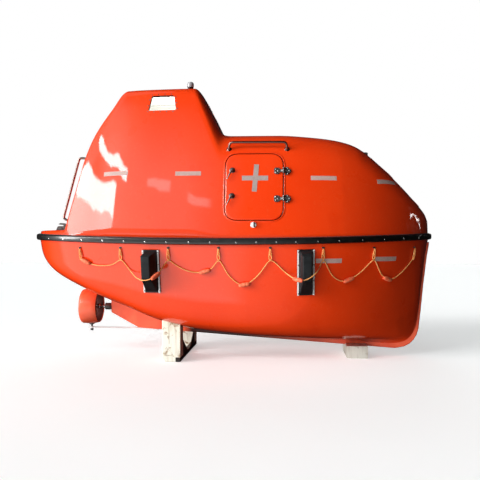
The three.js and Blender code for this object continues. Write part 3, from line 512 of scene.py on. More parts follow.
def surface(name, colour, roughness, **sockets):
    item = bpy.data.materials.new(name)
    item.use_nodes = True
    shader = item.node_tree.nodes["Principled BSDF"]
    shader.inputs["Base Color"].default_value = (*colour, 1)
    shader.inputs["Roughness"].default_value = roughness
    for socket, value in sockets.items():
        shader.inputs[socket.replace("_", " ")].default_value = value
    return item


def link(item, output, socket):
    item.node_tree.links.new(output, item.node_tree.nodes["Principled BSDF"].inputs[socket])


def own_place(item):
    return node(item.node_tree, "ShaderNodeTexCoord").outputs["Object"]


def noise(item, scale, detail=3.0, stretch=(1, 1, 1), distortion=0.0):
    """Noise over the piece's own place, in cycles to the metre."""
    mapping = node(item.node_tree, "ShaderNodeMapping", [("Vector", own_place(item)), ("Scale", stretch)])
    inputs = [("Vector", mapping.outputs[0]), ("Scale", scale), ("Detail", detail),
              ("Distortion", distortion)]
    return node(item.node_tree, "ShaderNodeTexNoise", inputs).outputs[0]


def remap(item, factor, low, high, start=0.3, end=0.7):
    """Spreads a factor's middle over a range of values."""
    span = [("Value", factor), ("From Min", start), ("From Max", end), ("To Min", low), ("To Max", high)]
    return node(item.node_tree, "ShaderNodeMapRange", span).outputs[0]


def ramp(item, factor, *stops):
    """Colours along a factor: each stop is a position and a colour."""
    mapped = node(item.node_tree, "ShaderNodeValToRGB", [(0, factor)])
    band = mapped.color_ramp
    while len(band.elements) < len(stops):
        band.elements.new(0.5)
    for element, (position, colour) in zip(band.elements, stops):
        element.position = position
        element.color = (*colour, 1)
    return mapped.outputs[0]


def mixed(item, factor, low, high):
    """A blend of two colours, or of two nodes' outputs."""
    ends = [value if isinstance(value, bpy.types.NodeSocket) else (*value, 1) for value in (low, high)]
    return node(item.node_tree, "ShaderNodeMix", [(0, factor), (6, ends[0]), (7, ends[1])],
                data_type="RGBA").outputs[2]


def bumped(item, height, strength, distance):
    bump = node(item.node_tree, "ShaderNodeBump",
                [("Strength", strength), ("Distance", distance), ("Height", height)])
    link(item, bump.outputs[0], "Normal")


def tinted(colour, amount):
    return tuple(min(1, c * amount) for c in colour)


ORANGE = (0.88, 0.046, 0.0035)


def gelcoat_material():
    """Glossy moulded laminate: slow ripples in the gloss, faint chalking and dust in the colour."""
    item = surface("orange_gelcoat", ORANGE, 0.24, Coat_Weight=0.85, Coat_Roughness=0.025,
                   Specular_IOR_Level=0.10)
    chalk = ramp(item, noise(item, 1.4, 5, (1, 1, 0.6)), (0.35, ORANGE), (0.62, (0.90, 0.053, 0.005)),
                 (0.75, (0.83, 0.041, 0.003)))
    dust = remap(item, noise(item, 38, 6), 0, 0.05, 0.56, 0.74)
    link(item, mixed(item, dust, chalk, (0.80, 0.30, 0.16)), "Base Color")
    link(item, remap(item, noise(item, 5, 5), 0.26, 0.38), "Roughness")
    bumped(item, noise(item, 3.2, 2), 0.22, 0.004)
    return item


def lining_material():
    """Off-white flow-coated inside of the laminate."""
    item = surface("white_moulding", (0.62, 0.60, 0.55), 0.5, Coat_Weight=0.15)
    tone = ramp(item, noise(item, 4, 5), (0.3, (0.55, 0.53, 0.48)), (0.7, (0.66, 0.64, 0.59)))
    link(item, tone, "Base Color")
    bumped(item, noise(item, 60, 4), 0.25, 0.001)
    return item


def rubber_material():
    item = surface("black_rubber", (0.006, 0.006, 0.007), 0.34, Coat_Weight=0.8, Coat_Roughness=0.16)
    dusty = remap(item, noise(item, 9, 6, (1, 1, 2)), 0, 1, 0.46, 0.80)
    link(item, mixed(item, dusty, (0.003, 0.003, 0.003), (0.014, 0.012, 0.011)), "Base Color")
    link(item, remap(item, noise(item, 22, 4), 0.30, 0.52), "Roughness")
    bumped(item, noise(item, 240, 3), 0.25, 0.0008)
    return item


def steel_material(name, colour, roughness, stain):
    """Drawn stainless steel, brushed along and faintly tea-stained."""
    item = surface(name, colour, roughness, Metallic=1.0)
    marks = remap(item, noise(item, 16, 6), 0, 0.5, 0.5, 0.8)
    link(item, mixed(item, marks, colour, stain), "Base Color")
    link(item, remap(item, noise(item, 60, 4, (1, 1, 0.15)), roughness - 0.08, roughness + 0.12), "Roughness")
    bumped(item, noise(item, 420, 2, (1, 1, 0.08)), 0.12, 0.0004)
    return item


def tape_material(name, colour):
    """Reflective tape: grey-silver, with a fine cellular grain."""
    item = surface(name, colour, 0.42)
    cells = node(item.node_tree, "ShaderNodeTexVoronoi", [("Vector", own_place(item)), ("Scale", 330)],
                 feature="DISTANCE_TO_EDGE")
    grain = remap(item, cells.outputs[0], 0, 1, 0.02, 0.16)
    soiled_and_shaded = ramp(item, noise(item, 12, 5), (0.3, tinted(colour, 0.87)), (0.7, tinted(colour, 1.16)))
    link(item, mixed(item, grain, tinted(colour, 0.6), soiled_and_shaded), "Base Color")
    bumped(item, grain, 0.2, 0.0005)
    return item


def rope_material():
    """Twisted polypropylene, sun-faded in places."""
    item = surface("rope", (0.78, 0.30, 0.045), 0.62, Sheen_Weight=0.25)
    faded = remap(item, noise(item, 26, 5), 0, 1)
    link(item, mixed(item, faded, (0.92, 0.31, 0.055), (0.97, 0.46, 0.14)), "Base Color")
    bumped(item, noise(item, 900, 3, (1, 1, 1)), 0.5, 0.0006)
    return item


def float_material():
    item = surface("float_foam", (0.86, 0.15, 0.055), 0.6)
    worn = remap(item, noise(item, 34, 6), 0, 1, 0.4, 0.72)
    link(item, mixed(item, worn, (0.86, 0.12, 0.045), (0.88, 0.24, 0.10)), "Base Color")
    bumped(item, noise(item, 380, 4), 0.3, 0.0007)
    return item


def glass_material():
    """Scratched clear acrylic."""
    item = surface("glazing", (0.86, 0.90, 0.90), 0.04, Transmission_Weight=1.0, IOR=1.45)
    link(item, remap(item, noise(item, 30, 6), 0.02, 0.09, 0.45, 0.75), "Roughness")
    return item


def dull_material(name, low, high, roughness, scale, grain, **sockets):
    """A plain dull surface whose tone and grain vary."""
    item = surface(name, low, roughness, **sockets)
    link(item, mixed(item, remap(item, noise(item, scale, 6), 0, 1), low, high), "Base Color")
    link(item, remap(item, noise(item, scale * 3, 4), roughness - 0.08, roughness + 0.1), "Roughness")
    bumped(item, noise(item, grain, 4), 0.3, 0.0008)
    return item


def keel_material(paint, worn, painted_shadow):
    """Two tones of paint, black with painted shadow under the middle of the boat, the shadow thinning out
    towards the bow and left off the skeg.
    """
    item = surface("keel_paint", paint, 0.42, Coat_Weight=0.25)
    along = node(item.node_tree, "ShaderNodeSeparateXYZ", [(0, own_place(item))]).outputs["X"]
    unshadowed = mixed(item, remap(item, noise(item, 6, 6), 0, 1), paint, worn)
    # Painted shadow: black under the middle of the boat, thinning out towards the bow.
    shadow_fade = mixed(item, remap(item, along, 0.97, 0, 0.15, 1.9), unshadowed, painted_shadow)
    soiled_and_shaded = mixed(item, remap(item, along, 0, 1, -0.62, -0.52), unshadowed, shadow_fade)
    link(item, soiled_and_shaded, "Base Color")
    link(item, remap(item, noise(item, 18, 4), 0.34, 0.52), "Roughness")
    bumped(item, noise(item, 120, 4), 0.3, 0.0008)
    return item


def chipped_material(name, paint, paint_dark, metal_low, metal_high, chip_start):
    """Old paint with chips down to rust, rust bleeding round them, and rust-coloured streaks."""
    item = surface(name, paint, 0.55)
    patches = noise(item, 13, 9, distortion=0.5)
    chips = remap(item, patches, 0, 1, chip_start, chip_start + 0.02)
    bleed = remap(item, patches, 0, 0.8, chip_start - 0.09, chip_start)
    streaks = remap(item, noise(item, 30, 5, (1, 1, 0.12)), 0, 0.55, 0.48, 0.75)
    coat = mixed(item, remap(item, noise(item, 3, 5), 0, 1), paint, paint_dark)
    coat = mixed(item, streaks, coat, tinted(metal_high, 0.9))
    coat = mixed(item, bleed, coat, metal_high)
    rust = ramp(item, noise(item, 55, 6), (0.3, metal_low), (0.65, metal_high))
    link(item, mixed(item, chips, coat, rust), "Base Color")
    link(item, remap(item, patches, 0.45, 0.85, chip_start - 0.05, chip_start + 0.05), "Roughness")
    bumped(item, remap(item, patches, 1, 0, chip_start - 0.02, chip_start + 0.02), 0.5, 0.0015)
    return item


GELCOAT = gelcoat_material()
LINING = lining_material()
RUBBER = rubber_material()
STEEL = steel_material("stainless_steel", (0.62, 0.62, 0.61), 0.15, (0.42, 0.34, 0.26))
# Maroon-brown stainless for the handrails: painted reflection of the orange canopy and the dark surroundings.
RAIL_STEEL_WITH_REFLECTION = steel_material("rail_steel_painted_reflection", (0.34, 0.21, 0.18), 0.15, (0.22, 0.13, 0.10))
DARK_STEEL = steel_material("tarnished_steel", (0.17, 0.165, 0.16), 0.44, (0.12, 0.08, 0.05))
# Bronze reddened as painted reflection of the orange nozzle round the blades.
BRONZE_WITH_REFLECTION = steel_material("bronze_painted_reflection", (0.34, 0.10, 0.06), 0.42, (0.16, 0.05, 0.03))
PALE_METAL = dull_material("galvanised", (0.70, 0.69, 0.68), (0.82, 0.81, 0.80), 0.5, 14, 240)
# Dark red for the inside of the nozzle: painted shade.
NOZZLE_SHADE_RED = dull_material("painted_shade_red", (0.070, 0.010, 0.006), (0.105, 0.016, 0.009), 0.5, 12, 200)
TAPE = tape_material("silver_tape", (0.66, 0.45, 0.40))
# The same tape in a darker tone, for the door's tapes.
DULL_TAPE = tape_material("darker_tape", (0.47, 0.37, 0.34))
ROPE = rope_material()
FLOAT = float_material()
GLASS = glass_material()
# Dark red-brown seal rubber, also laid on the walls of the door and hatch gaps and on the panels' edges as
# painted shade in the gaps.
SEAL_AND_GAP_SHADE = dull_material("seal", (0.016, 0.005, 0.004), (0.032, 0.010, 0.007), 0.65, 20, 300)
TRIM = dull_material("grey_trim", (0.10, 0.10, 0.10), (0.20, 0.19, 0.18), 0.42, 14, 200, Metallic=0.4)
LENS = dull_material("lamp_plastic", (0.34, 0.35, 0.37), (0.46, 0.47, 0.49), 0.25, 30, 200, Coat_Weight=0.4)
BLOCK_RUBBER = dull_material("block_rubber", (0.010, 0.012, 0.013), (0.020, 0.024, 0.026), 0.6, 12, 220,
                             Specular_IOR_Level=0.2)
BLACK = dull_material("black_plastic", (0.006, 0.006, 0.006), (0.014, 0.014, 0.014), 0.42, 24, 300)
# Salmon orange for the keel, skeg and nozzle, lighter than the gelcoat: painted light that stands in for the
# pale floor's bounce on the underside.
FLOOR_LIT_ORANGE = (0.90, 0.13, 0.045), (0.80, 0.075, 0.020)
SKEG_PAINT = dull_material("floor_lit_orange", *FLOOR_LIT_ORANGE, 0.42, 6, 120, Coat_Weight=0.25)
# The keel's third colour, near black, is painted shadow under the middle of the boat.
KEEL_PAINT = keel_material(*FLOOR_LIT_ORANGE, (0.012, 0.003, 0.003))
ENGINE_PAINT = dull_material("engine_paint", (0.05, 0.11, 0.09), (0.08, 0.16, 0.13), 0.42, 12, 160)
CREAM = chipped_material("cream_paint", (0.93, 0.91, 0.80), (0.86, 0.82, 0.66),
                         (0.09, 0.05, 0.03), (0.36, 0.22, 0.11), 0.66)
TIMBER = chipped_material("pale_timber", (0.66, 0.63, 0.56), (0.52, 0.48, 0.41),
                          (0.16, 0.12, 0.09), (0.36, 0.30, 0.23), 0.68)
RUSTED = chipped_material("rusted_paint", (0.012, 0.010, 0.009), (0.008, 0.007, 0.006),
                          (0.016, 0.009, 0.007), (0.07, 0.028, 0.013), 0.60)

# Camera

VIEW_FROM, VIEW_SWING = (0.7243, -7.9296, 1.45), math.radians(4.5)
FOCAL_LENGTH, SENSOR_WIDTH = 46.5, 36
camera_data = bpy.data.cameras.new("camera")
camera_data.lens = FOCAL_LENGTH
camera_data.sensor_width = SENSOR_WIDTH
camera = linked("camera", camera_data)
camera.location = VIEW_FROM
view = Vector((-math.sin(VIEW_SWING), math.cos(VIEW_SWING), 0))
camera.rotation_euler = view.to_track_quat("-Z", "Y").to_euler()
bpy.context.scene.camera = camera

# Smooth skins that fittings are laid on

HULL_XS = even_stations(-GUNWALE_END, GUNWALE_END, 0.022, half_breadth, hull_at["keel"])
CANOPY_XS = even_stations(-CANOPY_END, CANOPY_END, 0.020, half_breadth, canopy_at["top"])
hull_block = Builder().rings(hull_rings(HULL_XS))
canopy_block = Builder().rings(canopy_rings(CANOPY_XS))
hull_skin = Skin(hull_block)
canopy_skin = Skin(canopy_block)

# Places on the skins, screws and bolts


def level_place(skin, spot, turn=0.0):
    """A place on a side of the boat: u level and forward, n out."""
    n = skin.normal(spot)
    u = Vector((-n.y, n.x, 0)).normalized()
    return shifted(place(spot, u, n.cross(u)), turn=turn)


def hull_place(x, z):
    return level_place(hull_skin, Vector((x, -side_at(x, z), z)))


def screw_profile(radius):
    """A low domed head with a dimple for the driver."""
    return [(radius, -0.001), (radius, 0.15 * radius), (0.82 * radius, 0.42 * radius),
            (0.5 * radius, 0.58 * radius), (0.34 * radius, 0.60 * radius), (0.26 * radius, 0.36 * radius),
            (0.02 * radius, 0.34 * radius)]


def bolt_profile(radius, height):
    """A dome-headed bolt on a washer."""
    return [(radius * 1.5, -0.002), (radius * 1.5, height * 0.22), (radius * 1.42, height * 0.30),
            (radius, height * 0.32), (radius, height * 0.62), (radius * 0.86, height * 0.86),
            (radius * 0.5, height), (radius * 0.03, height * 1.04)]


# Lifeline: route as x, z, and how far the rope lies off the hull's side

EYE_XS = [-1.690, -1.185, -0.628, -0.058, 0.520, 1.106, 1.690, 2.205]
EYE_Z, EYE_DROP = 1.352, 0.112
ROPE_RADIUS, ROPE_STRANDS, ROPE_SIDES = 0.006, 3, 15
ROPE_ROUTE = [
    (-1.690, 1.234, 0.010), (-1.560, 1.172, 0.010), (-1.430, 1.154, 0.010), (-1.290, 1.168, 0.010),
    (-1.215, 1.212, 0.010), (-1.185, 1.232, 0.010), (-1.156, 1.206, 0.010), (-1.060, 1.082, 0.024),
    (-0.952, 1.019, 0.172), (-0.852, 1.003, 0.234), (-0.740, 1.047, 0.230), (-0.677, 1.165, 0.024),
    (-0.645, 1.215, 0.010), (-0.628, 1.232, 0.010), (-0.598, 1.206, 0.010), (-0.450, 1.115, 0.010),
    (-0.290, 1.083, 0.010), (-0.150, 1.120, 0.010), (-0.078, 1.208, 0.010), (-0.058, 1.232, 0.010),
    (0.070, 1.032, 0.010), (0.215, 0.944, 0.010), (0.370, 1.042, 0.010), (0.494, 1.204, 0.010),
    (0.520, 1.232, 0.010), (0.712, 1.067, 0.028), (0.818, 1.017, 0.186), (0.910, 1.015, 0.229),
    (1.012, 1.081, 0.206), (1.078, 1.170, 0.024), (1.106, 1.232, 0.010), (1.220, 1.040, 0.010),
    (1.340, 0.982, 0.010), (1.510, 1.062, 0.010), (1.662, 1.206, 0.010), (1.690, 1.232, 0.010),
    (1.800, 1.040, 0.010), (1.910, 0.988, 0.010), (2.060, 1.080, 0.010), (2.205, 1.234, 0.010),
]
FLOAT_XS = [-1.628, -0.736, -0.215, 0.225, 0.822, 1.400, 1.865]
FLOAT_LENGTH, FLOAT_RADIUS = 0.130, 0.025


def rope_section(turn, radius):
    """The laid strands seen end on, turned as the lay goes round."""
    section = []
    for i in range(ROPE_SIDES):
        angle = 2 * math.pi * i / ROPE_SIDES
        lobe = radius * (1.0 + 0.07 * math.cos(ROPE_STRANDS * angle))
        section.append((lobe * math.cos(angle + turn), lobe * math.sin(angle + turn)))
    return section


def laid_rope(path, radius=ROPE_RADIUS, pitch=0.042, closed=False):
    """Rings of twisted rope along an evenly spaced path."""
    rings = []
    travelled = 0.0
    frames = list(swept(path, [(1, 0), (0, 1)], closed))
    for i, (point, (side, other)) in enumerate(zip(path, frames)):
        point = Vector(point)
        travelled += (point - Vector(path[i - 1])).length if i else 0
        a, b = side - point, other - point
        section = rope_section(2 * math.pi * travelled / pitch, radius)
        rings.append([point + a * u + b * v for u, v in section])
    return rings


def float_profile():
    """A barrel float: rounded ends about the rope's hole, two shallow moulded grooves."""
    half, radius = FLOAT_LENGTH / 2, FLOAT_RADIUS
    outside = [(0.0085, -half), (0.012, -half), (radius * 0.63, -half * 0.96), (radius * 0.82, -half * 0.78),
               (radius * 0.95, -half * 0.5), (radius * 0.98, -half * 0.36), (radius * 0.95, -half * 0.33),
               (radius, -half * 0.29), (radius, 0)]
    return outside + [(r, -z) for r, z in outside[-2::-1]]


def on_path(point, along):
    """A place whose n runs along a path."""
    return place(point, along.orthogonal(), along.cross(along.orthogonal()))


def lifeline_float(path, x, mirror):
    i = next(i for i, p in enumerate(path) if p.x >= x)
    along = (path[i + 6] - path[i - 6]).normalized()
    middle = path[i] + Vector((0, -mirror * (FLOAT_RADIUS - ROPE_RADIUS) * 0.6, 0))
    return Builder().lathe(float_profile(), on_path(middle, along), 28)


def lifeline_knot(end, inside):
    """Three turns of rope about the lifeline's end."""
    along = (inside - end).normalized()
    at = on_path(end + along * 0.006, along)
    turns = [at @ Vector((0.0105 * math.cos(a), 0.0105 * math.sin(a), 0.004 * a / 3 - 0.012))
             for a in np.linspace(0, 2 * math.pi * 3, 90)]
    return Builder().rings(laid_rope(turns, 0.0052))


def build_lifeline(side, mirror):
    points = [(x, -mirror * (side_at(x, z) + out + ROPE_RADIUS), z) for x, z, out in ROPE_ROUTE]
    path = eased(curve_through(points, 0.005), 60)
    rope = Builder().rings(laid_rope(path)).make(f"lifeline_rope_{side}", ROPE, smooth=60)
    floats = [lifeline_float(path, x, mirror).make(f"float_{side}_{number}", FLOAT, smooth=40)
              for number, x in enumerate(FLOAT_XS, 1)]
    knots = [lifeline_knot(path[end], path[inside]).make(f"lifeline_knot_{side}_{number}", ROPE, smooth=60)
             for number, end, inside in ((1, 0, 8), (2, -1, -9))]
    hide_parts(f"lifeline_{side}")
    length = sum((b - a).length for a, b in zip(path, path[1:]))
    tuple(path[0])
    [tuple(p) for p in path]


def becket_loop(at):
    """A loop of rope that hangs from an eye and carries the lifeline, and the lashing round its neck."""
    top, foot = 0.004, -EYE_DROP - 0.012
    outline = []
    for i in range(56):
        angle = 2 * math.pi * i / 56
        share = 0.5 - 0.5 * math.cos(angle)
        width = 0.0075 + 0.013 * share ** 1.5
        outline.append(at @ Vector((width * math.sin(angle), top + (foot - top) * share, 0.018)))
    path = curve_through(outline + [outline[0]], 0.004)[:-1]
    lashing = [at @ Vector((0.0085 * math.sin(a), -0.030 - a * 0.0052, 0.018 + 0.0085 * math.cos(a)))
               for a in np.linspace(0, 2 * math.pi * 1.6, 60)]
    loop = Builder().rings(laid_rope(path, 0.0058, 0.034, closed=True), closed=True)
    return loop.rings(laid_rope(lashing, 0.0050))


def becket_eye(at):
    """An oval base, a bent bar and two screws."""
    eye = Builder().slab(rounded_box(0.034, 0.020, 0.009), -0.003, 0.003, 0.0010, shifted(at, v=0.012))
    arch = [(-0.008, 0.012, -0.003), (-0.008, 0.008, 0.024), (0.008, 0.008, 0.024), (0.008, 0.012, -0.003)]
    eye.tube(filleted([at @ Vector(p) for p in arch], 0.014, 8), 0.004, 12)
    for u in (-0.0125, 0.0125):
        eye.lathe(screw_profile(0.0030), shifted(at, u, 0.014, 0.003), 12)
    return eye


def build_beckets():
    loops, eyes = Builder(), Builder()
    for x in EYE_XS:
        loops.join(becket_loop(hull_place(x, EYE_Z)))
        eyes.join(becket_eye(hull_place(x, EYE_Z)))
    pair(loops, "beckets_{side}", ROPE, smooth=60)
    pair(eyes, "lifeline_eyes_{side}", DARK_STEEL)


# Hull, canopy and keel

DOOR = dict(x=0.3315, z=2.059, width=0.663, height=0.797, radius=0.155)
SIDE_WINDOW = dict(x=-0.782, z=3.092, corners=trapezium(0.172, 0.135, 0.098))
WINDOW_RADIUS = 0.026
HOOK_AFT, HOOK_FORWARD = -2.235, 2.195


def side_place(x, z):
    """A place on the canopy's starboard side: u forward, v up the lean, n out."""
    return place((x, -canopy_side(x, z), z), (1, 0, 0), (0, math.sin(LEAN), math.cos(LEAN)))


def slope_place(low_x, high_x, x):
    """A place on a slope of the centreline, between two stations: v up the slope, n out."""
    low, high = canopy_at["top"](low_x), canopy_at["top"](high_x)
    z = low + (high - low) * (x - low_x) / (high_x - low_x)
    rise = Vector((high_x - low_x, 0, high - low)).normalized()
    return place((x, 0, z), (0, -1 if rise.x > 0 else 1, 0), rise)


def mirrored_place(at):
    """The same place on the port side, kept right-handed by turning u."""
    mirror = Matrix.Scale(-1, 4, (0, 1, 0))
    return mirror @ at @ Matrix.Scale(-1, 4, (1, 0, 0))


door_at = side_place(DOOR["x"], DOOR["z"])
side_window_at = side_place(SIDE_WINDOW["x"], SIDE_WINDOW["z"])
# hinge, latch: their places on the hatch as u, v and turn; spread: half the distance between the two knuckles
HATCHES = {
    "roof_hatch": dict(at=facing_up(-0.895, 3.292), width=0.52, height=0.52, radius=0.07,
                       hinge=(-0.264, 0, math.pi), spread=0.150, latch=(0.19, 0, math.pi / 2)),
    "aft_hatch": dict(at=slope_place(-1.877, -1.730, -1.810), width=0.56, height=0.54, radius=0.09,
                      hinge=(-0.284, 0, math.pi), spread=0.160, latch=(0.19, 0, math.pi / 2)),
    "bow_hatch": dict(at=slope_place(2.100, 1.640, 1.830), width=0.48, height=0.43, radius=0.08,
                      hinge=(0, 0.219, math.pi / 2), spread=0.130, latch=(0, -0.155, 0)),
}
END_WINDOWS = {
    "front": dict(at=slope_place(-0.191, -0.325, -0.254), corners=trapezium(0.330, 0.290, 0.095)),
    "aft": dict(at=slope_place(-1.548, -1.285, -1.414), corners=trapezium(0.270, 0.240, 0.095)),
}
SOLE_Z, SOLE_LIFT = 0.56, 0.09


def prism(outline, low, high, at, slot=0):
    return Builder().rings([[at @ Vector((u, v, n)) for u, v in outline] for n in (low, high)], slot)


def box_block(low, high):
    (x0, y0, z0), (x1, y1, z1) = low, high
    return prism(box_outline(x0, y0, x1, y1), z0, z1, Matrix.Identity(4))


def temporary(builder):
    mesh = builder.mesh("cutter")
    for item in (GELCOAT, LINING, SEAL_AND_GAP_SHADE):
        mesh.materials.append(item)
    return linked("cutter", mesh)


def cut(base, *cutters):
    """The base less the cutters; a cut face keeps its cutter's material slot."""
    for cutter in cutters:
        cutter = temporary(cutter) if isinstance(cutter, Builder) else cutter
        modifier = base.modifiers.new("cut", "BOOLEAN")
        modifier.operation = "DIFFERENCE"
        modifier.solver = "MANIFOLD"
        modifier.object = cutter
        evaluated = base.evaluated_get(bpy.context.evaluated_depsgraph_get())
        mesh = bpy.data.meshes.new_from_object(evaluated)
        base.modifiers.clear()
        base.data = mesh
        bpy.data.objects.remove(cutter)
    return base


def carved(builder, *cutters):
    """What the cutters leave of a builder, all in one slot."""
    base = cut(temporary(builder), *cutters)
    left = Builder().add([v.co for v in base.data.vertices], [tuple(f.vertices) for f in base.data.polygons])
    bpy.data.objects.remove(base)
    return left


def finished_shell(base, name, skin, solid):
    """Names a cut shell and gives its outer faces the uncut skin's smooth normals."""
    mesh = base.data
    mesh.name = name
    mesh.shade_smooth()
    mesh.set_sharp_from_angle(angle=math.radians(35))
    normals = [(0, 0, 0)] * len(mesh.loops)
    smooth = {}
    for face in mesh.polygons:
        _, normal, _, distance = skin.tree.find_nearest(face.center)
        if distance > 0.0006 or abs(face.normal.dot(normal)) < 0.9:
            continue
        for loop in face.loop_indices:
            vertex = mesh.loops[loop].vertex_index
            if vertex not in smooth:
                smooth[vertex] = skin.normal(mesh.vertices[vertex].co)
            normals[loop] = tuple(smooth[vertex])
    mesh.normals_split_custom_set(normals)
    bpy.data.objects.remove(base)
    place_piece(name, mesh, [], replaces=[solid], smooth=None)


def hull_cavity():
    rings = []
    for x in even_stations(-1.92, 2.15, 0.05, half_breadth):
        sole = max(SOLE_Z, hull_at["keel"](x) + SOLE_LIFT)
        sides = [sole + up for up in (0, 0.04, 0.15, 0.35, 0.55)]
        half = [(0, sole), *((max(0.06, side_at(x, z) - HULL_WALL), z) for z in sides)]
        rings.append(ring_from_middle(x, half + [(half_breadth(x) - HULL_WALL, 1.7)]))
    return Builder().rings(rings, slot=1)


def grown(spec, extra):
    return rounded_box(spec["width"] + 2 * extra, spec["height"] + 2 * extra, spec["radius"] + extra, 10)


def build_hull():
    finished_shell(cut(temporary(hull_block), hull_cavity()), "hull_shell", hull_skin, "hull")


def build_canopy():
    inside_xs = even_stations(INSIDE_AFT, INSIDE_FORWARD, 0.03, half_breadth, canopy_at["top"])
    inside = Builder().rings(canopy_rings(inside_xs, WALL, -0.06), slot=1)
    well = box_block((HOOK_FORWARD - 0.16, -0.13, 1.64), (HOOK_FORWARD + 0.17, 0.13, 2.20))
    cavity = cut(temporary(inside), well)
    doorways = [(DOOR, door_at), (DOOR, mirrored_place(door_at))] + [(h, h["at"]) for h in HATCHES.values()]
    panes = [(SIDE_WINDOW, side_window_at), (SIDE_WINDOW, mirrored_place(side_window_at))]
    panes += [(window, window["at"]) for window in END_WINDOWS.values()]
    # The doorway walls take the third slot, the seal colour, as painted shade in the gaps.
    holes = [prism(grown(spec, DOOR_GAP), -0.15, 0.09, at, 2) for spec, at in doorways]
    holes += [prism(rounded_quad(spec["corners"], WINDOW_RADIUS), -0.15, 0.08, at) for spec, at in panes]
    holes.append(prism(rounded_box(*HOOK_WELL), 1.70, 2.30, Matrix.Translation((HOOK_WELL_X, 0, 0))))
    shell = cut(temporary(canopy_block), cavity, *holes)
    finished_shell(shell, "canopy_shell", canopy_skin, "canopy")


SKEG_AFT_X, SKEG_AFT_Z = -1.575, 0.511
# Bolts on the skeg: x, and how far up it they lie
SKEG_BOLTS = [(-1.50, 0.5), (-1.40, 0.5), (-1.30, 0.5), (-1.20, 0.42)]


def build_keel():
    top = 0.8
    profile = [
        (-1.578, top), (SKEG_AFT_X, SKEG_AFT_Z), (SKEG_FOOT_X, keel_line(SKEG_FOOT_X)),
        (2.049, keel_line(2.049)), (2.163, 0.115), (2.232, 0.152), (2.285, 0.205), (2.322, 0.270),
        (2.342, 0.340), (2.370, 0.578), (2.398, 0.867), (2.445, 1.251), (2.468, 1.380), (2.472, 1.425),
        (2.400, 1.425), (2.300, top),
    ]
    bar = Builder().slab(profile, 0, 2 * KEEL_HALF, 0.010, facing_starboard(KEEL_HALF))
    carved(bar, hull_block).make("keel_bar", KEEL_PAINT, replaces=["keel"], smooth=30)


def build_stern_tube():
    tube = [(0.0218, -0.004), (0.041, -0.004), (0.044, -0.001), (0.044, 0.056), (0.042, 0.062),
            (0.036, 0.078), (0.0218, 0.078), (0.0218, -0.004)]
    Builder().lathe(tube, facing_forward(-1.6525, SHAFT_Z), 36).make("stern_tube", DARK_STEEL)


def build_skeg_bolts():
    slope = (keel_line(SKEG_FOOT_X) - SKEG_AFT_Z) / (SKEG_FOOT_X - SKEG_AFT_X)
    studs = Builder()
    for x, share in SKEG_BOLTS:
        z = SKEG_AFT_Z + slope * (x - SKEG_AFT_X) + 0.07 * share
        for sign in (-1, 1):
            at = place((x, sign * KEEL_HALF, z), (1, 0, 0), (0, 0, -sign))
            studs.lathe(bolt_profile(0.008, 0.007), at, 12)
    studs.make("skeg_bolts", SKEG_PAINT)


def gunwale_path():
    """Points round the gunwale in plan, with their outward directions."""
    xs = even_stations(-GUNWALE_END, GUNWALE_END, 0.022, half_breadth)
    starboard = [Vector((x, -half_breadth(x), 0)) for x in xs]
    outline = starboard + [Vector((p.x, -p.y, 0)) for p in starboard[::-1]]
    path = []
    for i, point in enumerate(outline):
        before, after = outline[i - 1], outline[(i + 1) % len(outline)]
        a, b = (point - before).normalized(), (after - point).normalized()
        along = (a + b).normalized()
        out = Vector((along.y, -along.x, 0))
        path.append((point, out / max(0.6, out.dot(Vector((a.y, -a.x, 0))))))
    return path


def gunwale_strip(section):
    rings = [[p + out * away + Vector((0, 0, sheer(p.x) + up)) for away, up in section]
             for p, out in gunwale_path()]
    return Builder().rings(rings, closed=True)


BELT_BOLT_XS = [-2.10, -1.887, -1.636, -1.377, -1.125, -0.879, -0.638, -0.386, -0.148, 0.144, 0.367, 0.589,
                0.803, 1.044, 1.278, 1.539, 1.789, 2.024, 2.226]


def build_belt():
    """Flat-faced rubber belting with eased edges, and a lip of trim above."""
    half = FENDER_HEIGHT / 2
    section = [(SEAT_GAP, -half), (0.012, -half), (0.026, -half + 0.003), (0.036, -half + 0.010),
               (0.0395, -half + 0.020), (FENDER_DEPTH, -half + 0.034), (FENDER_DEPTH, half - 0.030),
               (0.0385, half - 0.020), (0.034, half - 0.011), (0.024, half - 0.0055), (0.010, half - 0.0045),
               (SEAT_GAP, half - 0.0045)]
    gunwale_strip(section).make("gunwale_belt", RUBBER, replaces=["gunwale_fender"])
    lip = [(SEAT_GAP, half - 0.0043), (0.0125, half - 0.0043), (0.0135, half - 0.002), (0.012, half),
           (SEAT_GAP, half)]
    gunwale_strip(lip).make("belt_lip", TRIM)


def build_belt_bolts():
    """Bolts low on the belt's face."""
    bolts = Builder()
    for x in BELT_BOLT_XS:
        out = Vector((half_breadth(x - 0.002) - half_breadth(x + 0.002), -0.004, 0)).normalized()
        spot = Vector((x, -half_breadth(x), sheer(x) - 0.010)) + out * (FENDER_DEPTH - 0.003)
        at = place(spot, Vector((0, 0, 1)).cross(out), (0, 0, 1))
        bolts.lathe(bolt_profile(0.0085, 0.0095), at, 16)
    pair(bolts, "belt_bolts_{side}", STEEL)


# Panels, frames and strips laid on a skin

TAPE_THICKNESS, TAPE_STEP = 0.0006, 0.02


def scaled(outline, share):
    return [(u * share, v * share) for u, v in outline]


def laid(skin, at, outline, lift):
    return [skin.lay(at, u, v, lift) for u, v in outline]


